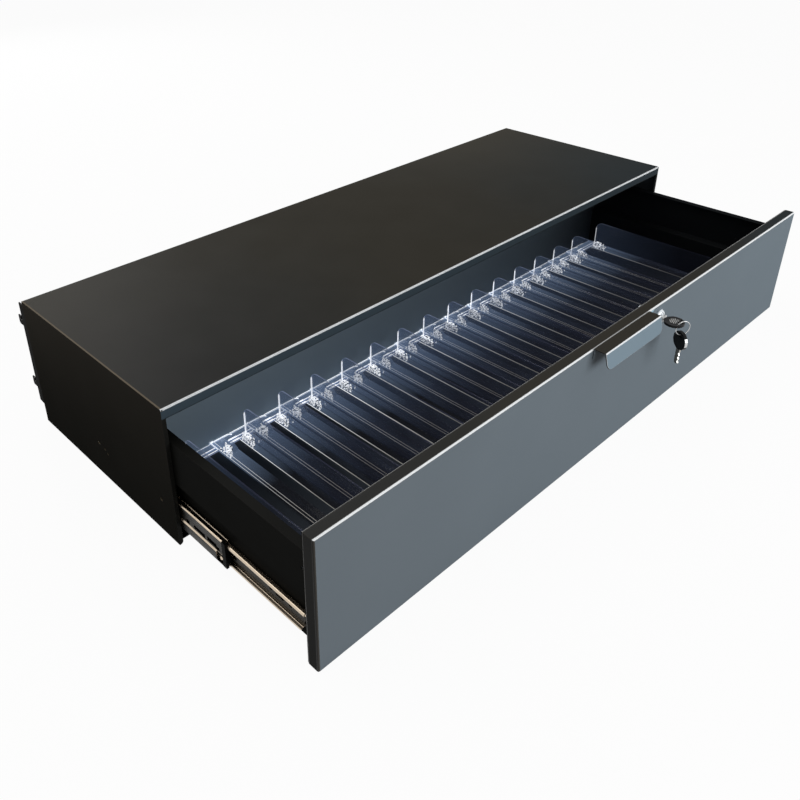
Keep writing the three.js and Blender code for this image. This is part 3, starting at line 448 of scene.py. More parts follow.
@dataclass(frozen=True)
class RolledSteel:
    """Zinc-plated or nickel-plated rolled steel, streaked along one axis."""

    name: str
    colour: Colour
    dark_colour: Colour
    roughness: float
    stretch: tuple[float, float, float] = (60.0, 1.0, 60.0)
    metallic: float = 1.0

    def material(self) -> bpy.types.Material:
        """Builds the plated steel with rolling streaks and cloudy patches.

        Returns:
            The material.
        """
        g = Shading(self.name)
        streak, patch = g.noise(28.0, 5.0, self.stretch), g.noise(60.0, 3.0)
        tone = g.mix((streak * 0.6 + patch * 0.5 - 0.15).clipped(), self.dark_colour, self.colour)
        return g.finish(g.principled({
            "Base Color": tone, "Metallic": self.metallic,
            "Roughness": self.roughness + (streak - 0.5) * 0.18 + (patch - 0.5) * 0.1,
            "Normal": g.bump(streak, 0.00002, 0.4),
        }))


@dataclass(frozen=True)
class Chrome:
    """Polished chrome plate with faint handling marks."""

    name: str
    colour: Colour
    mark_colour: Colour

    def material(self) -> bpy.types.Material:
        """Builds the plate.

        Returns:
            The material.
        """
        g = Shading(self.name)
        mark = g.noise(260.0, 6.0)
        return g.finish(g.principled({
            "Base Color": g.mix(mark * 0.3, self.colour, self.mark_colour), "Metallic": 0.7,
            "Roughness": 0.09 + mark * 0.12, "Normal": g.bump(g.noise(900.0, 2.0), 0.00001, 0.2),
        }))


@dataclass(frozen=True)
class MouldedPlastic:
    """Opaque moulded plastic with a fine spark-eroded texture."""

    name: str
    colour: Colour
    roughness: float = 0.38
    specular: float = 0.12

    def material(self) -> bpy.types.Material:
        """Builds the plastic.

        Returns:
            The material.
        """
        g = Shading(self.name)
        cloud = g.noise(120.0, 3.0)
        return g.finish(g.principled({
            "Base Color": g.mix(cloud * 0.4, self.colour, srgb(34, 34, 35)),
            "Roughness": self.roughness + (cloud - 0.5) * 0.2,
            "Specular IOR Level": self.specular,
            "Normal": g.bump(g.noise(3200.0, 3.0), 0.00004, 0.5),
        }))


@dataclass(frozen=True)
class ClearPlastic:
    """Clear moulded plastic: see-through faces or a painted highlight on its cut edges, with
    painted light, painted shade and a painted glow.

    Args:
        name: the material's name.
        colour: the colour at the rear of the tray, paler there with painted light.
        front_colour: the colour at its front, in painted shade.
        alpha: the cover at the rear.
        front_alpha: the cover at the front.
        painted_glow: a painted glow, an emission that stands for the light it catches from all
            round.
        fade: how much of its cover is lost at the right end, which paints shade there.
        start: the distance in front of the frame's origin where the front tone ends.
        span: the length over which the rear tone takes over.
        specular: its specular level.
        painted_sparkle: white painted glints and black painted flecks of shade per metre, or 0
            for none.
    """

    name: str
    colour: Colour
    front_colour: Colour
    alpha: float
    front_alpha: float
    painted_glow: float
    fade: float = 0.0
    start: float = 0.160
    span: float = 0.085
    specular: float = 0.3
    painted_sparkle: float = 0.0

    def material(self) -> bpy.types.Material:
        """Builds the plastic: painted light makes it paler at the rear of the tray, and it has
        flow lines.

        Returns:
            The material.
        """
        g = Shading(self.name)
        rearward = ((g.axis("Y") + self.start) / self.span).clipped()
        flow = g.noise(9.0, 4.0, (6.0, 0.6, 6.0))
        tone = g.mix((rearward + (flow - 0.5) * 0.3).clipped(), self.front_colour, self.colour)
        alpha = rearward * (self.alpha - self.front_alpha) + self.front_alpha
        leftward = ((0.5 - g.axis("X")) * 2).clipped()
        alpha = alpha * (0.85 + flow * 0.3) * (1 - self.fade + leftward * self.fade)
        # Painted sparkle: white glints and black flecks scattered by noise.
        if self.painted_sparkle > 0:
            sparkle_noise = g.noise(self.painted_sparkle, 1.0)
            lit = ((sparkle_noise - 0.50) * 16).clipped()
            dark = ((0.43 - sparkle_noise) * 16).clipped()
            tone = g.mix(lit, g.mix(dark, tone, srgb(7, 9, 13)), srgb(250, 252, 255))
            alpha = alpha + lit * 0.75 + dark * 0.5
        # The emission is a painted glow.
        return g.finish(g.principled({
            "Base Color": tone, "Alpha": alpha.clipped(), "Roughness": 0.10 + flow * 0.06,
            "Normal": g.bump(flow, 0.00012, 0.25), "Specular IOR Level": self.specular,
            "Emission Color": tone, "Emission Strength": self.painted_glow,
        }))


class Finishes(Enum):
    """A set of finishes, each built at its first use."""

    @cache
    def material(self) -> bpy.types.Material:
        """The finish's material."""
        return self.value.material()


RIM = srgb(96, 98, 98)
# BROWN tints the middle of the painted shading on the housing's coats.
BROWN = srgb(50, 47, 40)
EVEN = (20.0, 20.0, 20.0)


class Finish(Finishes):
    """The finishes of the steel, the lock, the keys and the black plastic."""

    # The housing's dark coat, whose drift and middle band are painted shading.
    HOUSING = PowderCoat("housing_powder_coat", srgb(42, 42, 41), srgb(42, 47, 49), RIM,
                         mid_colour=BROWN)
    # The top's copy of the coat: a painted sheen at the rear, painted highlights on fold and left
    # edge.
    ROOF = PowderCoat("roof_powder_coat", srgb(35, 35, 34), srgb(44, 50, 53), RIM,
                      mid_colour=BROWN, rear_light_colour=srgb(70, 67, 60),
                      fold_highlight=(-0.161, 0.0, 0.0019, 0.0018), left_edge_highlight=-0.4978)
    # The front lip's copy: paler and cooler with painted light, and a painted highlight on its
    # fold.
    LIP = PowderCoat("lip_powder_coat", srgb(60, 72, 81), srgb(46, 54, 59), srgb(84, 94, 100),
                     sheen=0.008, low_colour=srgb(24, 23, 20), low_under=-0.0126,
                     fold_highlight=(-0.161, 0.0, 0.004, 0.0022))
    # The ends' copy, in painted shade, with painted light towards the upper rear.
    SIDE = PowderCoat("side_powder_coat", srgb(24, 23, 19), srgb(24, 23, 19), srgb(60, 60, 56),
                      sheen=0.004, rear_light_colour=srgb(68, 64, 58), front_share=0.45)
    INSIDE = PowderCoat("drawer_powder_coat", srgb(24, 24, 22), srgb(18, 20, 22),
                        srgb(60, 62, 64), sheen=0.004)
    # The drawer floor's copy of the drawer's coat, paler with painted light.
    FLOOR = PowderCoat("floor_powder_coat", srgb(66, 72, 80), srgb(50, 54, 62),
                       srgb(90, 94, 98), sheen=0.006)
    # The rear wall's copy, with a painted reflection that fades to the right.
    REAR = PowderCoat("rear_wall_powder_coat", srgb(136, 152, 164), srgb(14, 17, 22),
                      srgb(150, 160, 170), drift=0.2)
    # The front face's copy of the dark coat, paler with painted light, and a painted glint by the
    # lock.
    FRONT = PowderCoat("front_powder_coat", srgb(105, 114, 121), srgb(114, 125, 133),
                       srgb(154, 162, 168), 0.36, 0.02, glint=(0.0665, -0.0175, 0.008, 0.005))
    # The pull face's copy, paler with painted light, and a painted highlight on its fold.
    PULL = PowderCoat("pull_powder_coat", srgb(126, 144, 156), srgb(122, 139, 151),
                      srgb(170, 178, 184), 0.32, 0.02, reach=0.1,
                      fold_highlight=(-0.4118, -0.0154, 0.01, 0.0020))
    # The bends' finish, with painted highlights and painted shade.
    EDGE = PaintedBendLight("coated_bend", srgb(52, 49, 44), srgb(250, 252, 253), srgb(20, 19, 17))
    # One zinc plate painted as lit and as shaded: the first for bends and lips, the second for
    # webs.
    LIT_ZINC = RolledSteel("slide_zinc_painted_lit", srgb(232, 216, 194), srgb(178, 162, 142), 0.28)
    SHADED_ZINC = RolledSteel("slide_zinc_painted_shade", srgb(34, 32, 28), srgb(13, 13, 12), 0.42)
    KEY = RolledSteel("key_nickel_steel", srgb(222, 222, 218), srgb(158, 156, 150), 0.22, EVEN)
    # The key steel darker and less metallic: painted shade for the blades' flat faces.
    BLADE = RolledSteel("key_blade_face", srgb(150, 146, 138), srgb(84, 80, 74), 0.34, EVEN, 0.5)
    RING = RolledSteel("ring_bright_steel", srgb(242, 243, 243), srgb(206, 206, 204), 0.24,
                       EVEN, 0.3)
    CHROME = Chrome("lock_chrome_plate", srgb(240, 246, 250), srgb(150, 152, 156))
    DOT = MouldedPlastic("light_moulded_dot", srgb(240, 240, 238), 0.4, 0.3)
    BLACK = MouldedPlastic("black_moulded_plastic", srgb(13, 13, 14))
    STOP = MouldedPlastic("stop_plastic", srgb(4, 4, 4), 0.5, 0.02)


class Clear(Finishes):
    """The finishes of the clear plastic's faces, in the order of the material slots."""

    # DIM is a dimmer painted highlight on edges, and SPARK is painted sparkle.
    # WALL, PLATE and FAINT are the faces. BRIGHT and LINE are painted highlights on edges and
    # ribs.
    WALL = ClearPlastic("clear_wall_face", srgb(90, 106, 134), srgb(38, 42, 56), 0.34, 0.28,
                        0.45, 0.75, 0.24, 0.165)
    PLATE = ClearPlastic("clear_foot_face", srgb(120, 140, 168), srgb(31, 32, 37), 0.50, 0.50,
                         0.55, 0.0, 0.175, 0.100)
    BRIGHT = ClearPlastic("clear_bright_edge", srgb(250, 252, 255), srgb(160, 158, 152), 0.98,
                          0.60, 0.9, 0.8, 0.24, 0.16)
    DIM = ClearPlastic("clear_dim_edge", srgb(158, 172, 204), srgb(74, 76, 98), 0.80, 0.30,
                       0.4, 0.5)
    SPARK = ClearPlastic("clear_clip_sparkle", srgb(66, 84, 104), srgb(66, 84, 104), 0.25, 0.25,
                         0.6, specular=0.6, painted_sparkle=430.0)
    LINE = ClearPlastic("clear_rib_line", srgb(228, 232, 238), srgb(156, 152, 146), 0.94, 0.7,
                        0.75, 0.3, 0.24, 0.16)
    FAINT = ClearPlastic("clear_clip_face", srgb(92, 106, 146), srgb(92, 106, 146), 0.10, 0.10,
                         0.3)

    @property
    def slot(self) -> int:
        """The finish's material slot."""
        return list(Clear).index(self)


Look = Callable[[Vector, Vector, Vector], Clear]


# Mesh helpers


class Axis(Enum):
    """The axis across an outline's plane, with the order that makes a point of u, v and w."""

    X = (2, 0, 1)
    Y = (0, 2, 1)
    Z = (0, 1, 2)

    def at(self, u: float, v: float, w: float) -> Vector:
        """The point at u and v in the plane and w along the axis."""
        return Vector([(u, v, w)[k] for k in self.value])


@contextmanager
def edited(mesh: bpy.types.Mesh) -> Iterator[Solid]:
    """Opens a mesh for edits and writes them back at the end.

    Args:
        mesh: the mesh.

    Yields:
        The mesh's editable copy.
    """
    bm = bmesh.new()
    bm.from_mesh(mesh)
    bm.normal_update()
    yield bm
    bm.to_mesh(mesh)
    bm.free()


def linked(name: str, data: bpy.types.ID) -> bpy.types.Object:
    """Makes a scene object.

    Args:
        name: its name.
        data: its mesh, camera or lamp.

    Returns:
        The object.
    """
    obj = bpy.data.objects.new(name, data)
    bpy.context.scene.collection.objects.link(obj)
    return obj


def finished(name: str, mesh: bpy.types.Mesh, *finishes: Finishes) -> bpy.types.Object:
    """Makes a scene object at the origin from a mesh that holds its place.

    Args:
        name: the object's name.
        mesh: its mesh, whose faces keep their material slots.
        finishes: the finish of each slot.

    Returns:
        The object.
    """
    slots = [polygon.material_index for polygon in mesh.polygons]
    mesh.materials.clear()
    for finish in finishes:
        mesh.materials.append(finish.material())
    for polygon, slot in zip(mesh.polygons, slots):
        polygon.material_index = max(0, min(slot, len(finishes) - 1))
    return linked(name, mesh)


def settled(obj: bpy.types.Object) -> bpy.types.Object:
    """Turns an object's modifiers into its plain mesh.

    Args:
        obj: the object.

    Returns:
        The same object without modifiers.
    """
    depsgraph = bpy.context.evaluated_depsgraph_get()
    mesh = bpy.data.meshes.new_from_object(obj.evaluated_get(depsgraph))
    old = obj.data
    obj.modifiers.clear()
    obj.data = mesh
    if old.users == 0:
        bpy.data.meshes.remove(old)
    return obj


def smooth(obj: bpy.types.Object, angle: float) -> bpy.types.Object:
    """Smooths an object's faces.

    Args:
        obj: the object.
        angle: the angle in degrees past which an edge stays sharp.

    Returns:
        The same object.
    """
    for polygon in obj.data.polygons:
        polygon.use_smooth = True
    obj.data.set_sharp_from_angle(angle=math.radians(angle))
    return obj


def weigh_bends(mesh: bpy.types.Mesh, share: float) -> None:
    """Marks sharp edges: long outer ones for the full bend, the others for a share of it.

    Args:
        mesh: the mesh.
        share: the part of the full bend that the other edges get.
    """
    with edited(mesh) as bm:
        layer = bm.edges.layers.float.new("bevel_weight_edge")
        outer = {}
        for face in bm.faces:
            reach = max(face.normal.dot(v.co) for v in bm.verts)
            outer[face] = reach - face.normal.dot(face.verts[0].co) < OUTER_GAP
        for edge in bm.edges:
            if len(edge.link_faces) == 2 and edge.calc_face_angle(0.0) >= SHARP:
                full = all(outer[f] for f in edge.link_faces) and edge.calc_length() > LONG_BEND
                edge[layer] = 1.0 if full else share


def rounded_edges(obj: bpy.types.Object, width: float, segments: int = 3,
                  edge_slot: int = -1, outer: float = 0.0,
                  held: bool = True) -> bpy.types.Object:
    """Rounds every sharp edge of an object.

    Args:
        obj: the object.
        width: the bevel's width in metres.
        segments: its steps.
        edge_slot: the material slot of the new faces, or -1 to keep their own.
        outer: a larger width for the long outer bends, or 0 for none.
        held: keeps every bevel as narrow as the tightest place needs.

    Returns:
        The same object with a plain mesh.
    """
    bevel = obj.modifiers.new("round", "BEVEL")
    bevel.segments, bevel.material = segments, edge_slot
    bevel.use_clamp_overlap = held
    bevel.width = outer or width
    bevel.limit_method, bevel.angle_limit = "ANGLE", SHARP
    if outer:
        weigh_bends(obj.data, width / outer)
        bevel.limit_method = "WEIGHT"
    smooth(settled(obj), 34)
    weighted = obj.modifiers.new("normals", "WEIGHTED_NORMAL")
    weighted.weight, weighted.keep_sharp = 60, True
    return settled(obj)


def from_node(node: str) -> bpy.types.Mesh:
    """A merged copy of a CAD node's mesh with its flat faces made whole.

    Args:
        node: the node's name.

    Returns:
        The new mesh.
    """
    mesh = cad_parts[node].data.copy()
    with edited(mesh) as bm:
        bmesh.ops.remove_doubles(bm, verts=bm.verts, dist=2e-6)
        bmesh.ops.dissolve_limit(bm, angle_limit=FLAT, verts=bm.verts, edges=bm.edges)
    return mesh


def joined(name: str, parts: list[Solid], *finishes: Finishes) -> bpy.types.Object:
    """Makes one scene object from several solids.

    Args:
        name: the object's name.
        parts: the solids, which are freed.
        finishes: the finish of each material slot.

    Returns:
        The object.
    """
    whole = bpy.data.meshes.new(name)
    with edited(whole) as target:
        for part in parts:
            scratch = bpy.data.meshes.new("scratch")
            part.to_mesh(scratch)
            target.from_mesh(scratch)
            bpy.data.meshes.remove(scratch)
            part.free()
    return finished(name, whole, *finishes)


def skinned(rings: list[list[Vector]], closed: bool) -> Solid:
    """A solid whose skin joins each ring of points to the next.

    Args:
        rings: the rings, where one point alone is a tip.
        closed: joins the last ring to the first; otherwise both are capped.

    Returns:
        The solid with its faces outward.
    """
    bm = bmesh.new()
    rows = [[bm.verts.new(point) for point in ring] for ring in rings]
    pairs = list(zip(rows, rows[1:]))
    if closed:
        pairs.append((rows[-1], rows[0]))
    for row in () if closed else (rows[0], rows[-1]):
        if len(row) > 2:
            bm.faces.new(row)
    steps = max(len(row) for row in rows)
    for one, two in pairs:
        for i in range(steps):
            j = (i + 1) % steps
            corners = [one[i % len(one)], one[j % len(one)], two[j % len(two)], two[i % len(two)]]
            unique = list(dict.fromkeys(corners))
            if len(unique) > 2:
                bm.faces.new(unique)
    bmesh.ops.recalc_face_normals(bm, faces=bm.faces)
    return bm


def prism(outline: Points, axis: Axis, start: float, end: float) -> Solid:
    """A solid between two places along an axis, from its outline across that axis."""
    return skinned([[axis.at(u, v, w) for u, v in outline] for w in (start, end)], False)


def block(x: Span, y: Span, z: Span) -> Solid:
    """A box from its extents along the axes."""
    return prism([(x[0], y[0]), (x[1], y[0]), (x[1], y[1]), (x[0], y[1])], Axis.Z, *z)


def lathe(profile: Points, centre: Vector, steps: int, axis: Axis = Axis.Z) -> Solid:
    """A closed solid of revolution.

    Args:
        profile: radius and place along the axis, from the axis to the axis or a closed
            loop.
        centre: a point on the axis, from which the places are counted.
        steps: the pieces of a turn.
        axis: the axis.

    Returns:
        The solid with its faces outward.
    """
    rings = []
    for radius, along in profile:
        turns = [2 * math.pi * i / steps for i in range(steps if radius else 1)]
        rings.append([centre + axis.at(radius * math.cos(t), radius * math.sin(t), along)
                      for t in turns])
    return skinned(rings, closed=profile[0][0] > 0)


def peg(x: float, y: float, z: float, radius: float, height: float, steps: int = 10) -> Solid:
    """A small upright peg with a rounded top, in millimetres."""
    r, h, foot = radius * MM, height * MM, Vector((x, y, z)) * MM
    return lathe([(0, 0), (r, 0), (r, h - 0.5 * r), (0.75 * r, h - 0.1 * r), (0, h)], foot, steps)


def tube(x: float, y: float, radius: float, bore: float, height: float, steps: int) -> Solid:
    """A small upright tube, in millimetres."""
    profile = [(bore * MM, 0), (radius * MM, 0), (radius * MM, height * MM),
               (bore * MM, height * MM)]
    return lathe(profile, Vector((x, y, 0)) * MM, steps)


def filleted(path: Points, radius: float, steps: int = 6) -> Points:
    """An open path with each inner corner turned into an arc.

    Args:
        path: the corners.
        radius: the arcs' radius.
        steps: the pieces of each arc.

    Returns:
        The new points.
    """
    points = [path[0]]
    for before, corner, after in zip(path, path[1:], path[2:]):
        b, c, a = Vector(before), Vector(corner), Vector(after)
        back, ahead = (b - c).normalized(), (a - c).normalized()
        half = back.angle(ahead) / 2
        reach = min(radius / math.tan(half), 0.48 * (b - c).length, 0.48 * (a - c).length)
        true_radius = reach * math.tan(half)
        centre = c + (back + ahead).normalized() * (true_radius / math.sin(half))
        first, last = c + back * reach - centre, c + ahead * reach - centre
        sweep = first.angle_signed(last)
        for i in range(steps + 1):
            turn = Matrix.Rotation(-sweep * i / steps, 2)
            points.append(tuple(centre + turn @ first))
    return [*points, path[-1]]


def ribbon(path: Points, thickness: float) -> Points:
    """A closed outline of a sheet that runs along a path, centred on it.

    Args:
        path: the sheet's middle line.
        thickness: its thickness.

    Returns:
        The outline: one side forwards, then the other side back.
    """
    left, right = [], []
    for i, corner in enumerate(path):
        here = Vector(corner)
        before = Vector(path[max(i - 1, 0)])
        after = Vector(path[min(i + 1, len(path) - 1)])
        into = (here - before).normalized() if i > 0 else (after - here).normalized()
        out = (after - here).normalized() if i < len(path) - 1 else into
        side = Vector((-into.y - out.y, into.x + out.x)).normalized()
        reach = thickness / 2 / max(0.3, side.dot(Vector((-into.y, into.x))))
        left.append(tuple(here + side * reach))
        right.append(tuple(here - side * reach))
    return left + right[::-1]


def cut_from(obj: bpy.types.Object, cutters: list[Solid]) -> None:
    """Cuts solids out of an object and leaves it a plain mesh.

    Args:
        obj: the object.
        cutters: the solids.
    """
    tool = joined("cutter", cutters)
    boolean = obj.modifiers.new("cut", "BOOLEAN")
    boolean.operation, boolean.solver = "DIFFERENCE", "EXACT"
    boolean.use_self, boolean.object = True, tool
    settled(obj)
    bpy.data.objects.remove(tool)


@dataclass
class Row:
    """Copies of a shape at chosen places, made by Geometry Nodes.

    Args:
        name: the piece's name.
        shape: the object that is repeated; it is removed afterwards.
        places: where each copy's origin goes.
        finishes: one for each material slot of the shape.
        seed: fixes the chance difference in turn from copy to copy.
        sway: the largest such difference in radians, about the Y axis.
    """

    name: str
    shape: bpy.types.Object
    places: list[Vector]
    finishes: list[Finishes]
    seed: int = 7
    sway: float = 0.0

    def _tree(self) -> bpy.types.NodeTree:
        """Builds the node tree with its named inputs.

        Returns:
            The tree.
        """
        tree = bpy.data.node_groups.new(f"{self.name}_row", "GeometryNodeTree")
        for word, kind in (("Geometry", "Geometry"), ("Shape", "Object"), ("Sway", "Float"),
                           ("Seed", "Int")):
            tree.interface.new_socket(word, in_out="INPUT", socket_type=f"NodeSocket{kind}")
        tree.interface.new_socket("Geometry", in_out="OUTPUT", socket_type="NodeSocketGeometry")
        g = Graph(tree)
        given = g.add("NodeGroupInput")
        shape = g.add("GeometryNodeObjectInfo", {"Object": given["Shape"]}, "Geometry")
        chance = g.add("FunctionNodeRandomValue", {3: given["Sway"], "Seed": given["Seed"]}, 1,
                       data_type="FLOAT")
        copies = g.add("GeometryNodeInstanceOnPoints", {
            "Points": given["Geometry"], "Instance": shape,
            "Rotation": g.add("ShaderNodeCombineXYZ", {"Y": chance}),
        })
        row = g.add("GeometryNodeRealizeInstances", {"Geometry": copies})
        index = g.add("GeometryNodeInputMaterialIndex")
        for slot, finish in enumerate(self.finishes):
            same = g.add("FunctionNodeCompare", {2: index, 3: slot}, data_type="INT",
                         operation="EQUAL")
            row = g.add("GeometryNodeSetMaterial", {
                "Geometry": row, "Selection": same, "Material": finish.material(),
            })
        g.add("NodeGroupOutput", {"Geometry": row})
        return tree

    def build(self) -> bpy.types.Object:
        """Places the copies.

        Returns:
            One plain mesh object.
        """
        mesh = bpy.data.meshes.new(self.name)
        mesh.from_pydata([tuple(place) for place in self.places], [], [])
        obj = linked(self.name, mesh)
        modifier = obj.modifiers.new("row", "NODES")
        modifier.node_group = self._tree()
        values = {"Shape": self.shape, "Sway": self.sway, "Seed": self.seed}
        for item in modifier.node_group.interface.items_tree:
            if item.name in values:
                modifier[item.identifier] = values[item.name]
        settled(obj)
        bpy.data.objects.remove(self.shape)
        return obj


def dress(obj: bpy.types.Object, body: Body, slot: Slot, *nodes: str) -> None:
    """Gives a piece its body and hides the CAD nodes that it stands for.

    Args:
        obj: the piece.
        body: what it rides on.
        slot: its material slot in the record; not used.
        nodes: the CAD nodes.
    """
    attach(obj, body.value)
    if nodes:
        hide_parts(*nodes)
    LOG.info("%s: %d faces on %s", obj.name, len(obj.data.polygons), body.value)


def coated(name: str, node: str, radius: float, coat: Finish, edge: Finish,
           outer: float = 0.0, face: Finish | None = None, axis: int = 1,
           held: bool = True) -> bpy.types.Object:
    """A folded sheet from its CAD node, with rounded folds that have an edge finish.

    Args:
        name: the piece's name.
        node: the CAD node.
        radius: the bevel of its edges.
        coat: the finish of its faces.
        edge: the finish of its rounded edges.
        outer: a larger bevel for the long outer bends, or 0.
        face: another finish for the outermost faces along an axis, or none.
        axis: 1 for the faces at the front, 0 for those at both ends.
        held: keeps every bevel as narrow as the tightest place needs.

    Returns:
        The sheet.
    """
    mesh = from_node(node)
    reach = max(-v.co[axis] for v in mesh.vertices)
    for polygon in mesh.polygons:
        outward = max(-polygon.normal[axis], 0 if axis else polygon.normal[axis])
        if face and outward > 0.8 and abs(polygon.center[axis]) > reach - 0.5 * MM:
            polygon.material_index = 2
    obj = finished(name, mesh, coat, edge, *([face] if face else []))
    return rounded_edges(obj, radius, edge_slot=1, outer=outer, held=held)


# Sub-assemblies


@dataclass
class Housing:
    """The folded housing, its back sheet and its hook brackets."""

    fold: float = 0.6 * MM
    bend: float = 1.4 * MM
    sheet_edge: float = 0.4 * MM
    rivet: float = 2.2 * MM
    rivet_shares: tuple[float, ...] = (0.1, 0.37, 0.63, 0.9)
    plate: float = 2 * MM

    def build(self) -> None:
        """Builds every piece of the housing."""
        # The top takes ROOF and both ends take SIDE: one coat, painted light on the top, painted
        # shade on the ends.
        shell = coated("housing_sheet", "housing_shell", self.fold, Finish.ROOF, Finish.EDGE,
                       self.bend, Finish.SIDE, 0)
        self._dress_lip(shell)
        dress(shell, Body.HOUSING, Slot.HOUSING_PAINT, "housing_shell")
        sheets = {"housing_back": "housing_back_sheet"}
        sheets |= {f"hook_bracket_{s.word}": f"hook_bracket_{s.word}_plate" for s in Side}
        for node, name in sheets.items():
            sheet = coated(name, node, self.sheet_edge, Finish.HOUSING, Finish.EDGE)
            dress(sheet, Body.HOUSING, Slot.HOUSING_PAINT, node)
        self._rivets()

    def _dress_lip(self, shell: bpy.types.Object) -> None:
        """Gives the lip under the front edge of the top its painted light, a paler and cooler
        copy of the coat.

        Args:
            shell: the housing's sheet.
        """
        shell.data.materials.append(Finish.LIP.material())
        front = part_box("housing_shell")[0].y
        for polygon in shell.data.polygons:
            if polygon.center.y < front + 0.3 * MM and polygon.normal.y < -0.9:
                polygon.material_index = 3

    def _rivets(self) -> None:
        """Adds the dome rivets that hold the brackets' feet to the back."""
        places = []
        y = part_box("housing_back")[1].y + self.plate
        for side in Side:
            low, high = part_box(f"hook_bracket_{side.word}")
            x = (low.x + high.x) / 2 - side.sign * 1.5 * MM
            for share in self.rivet_shares:
                places.append(Vector((x, y, low.z + (high.z - low.z) * share)))
        r, sunk = self.rivet, -0.2 * MM
        turns = [math.pi / 2 * i / 6 for i in range(6)]
        arc = [(r * math.cos(t), r * 0.55 * math.sin(t)) for t in turns]
        profile = [(0.0, sunk), (r, sunk), *arc, (0.0, r * 0.55)]
        dome = lathe(profile, Vector(), 20, Axis.Y)
        shape = joined("rivet_shape", [dome], Finish.HOUSING)
        rivets = Row("bracket_rivets", smooth(shape, 40), places, [Finish.HOUSING]).build()
        dress(rivets, Body.HOUSING, Slot.HOUSING_PAINT)


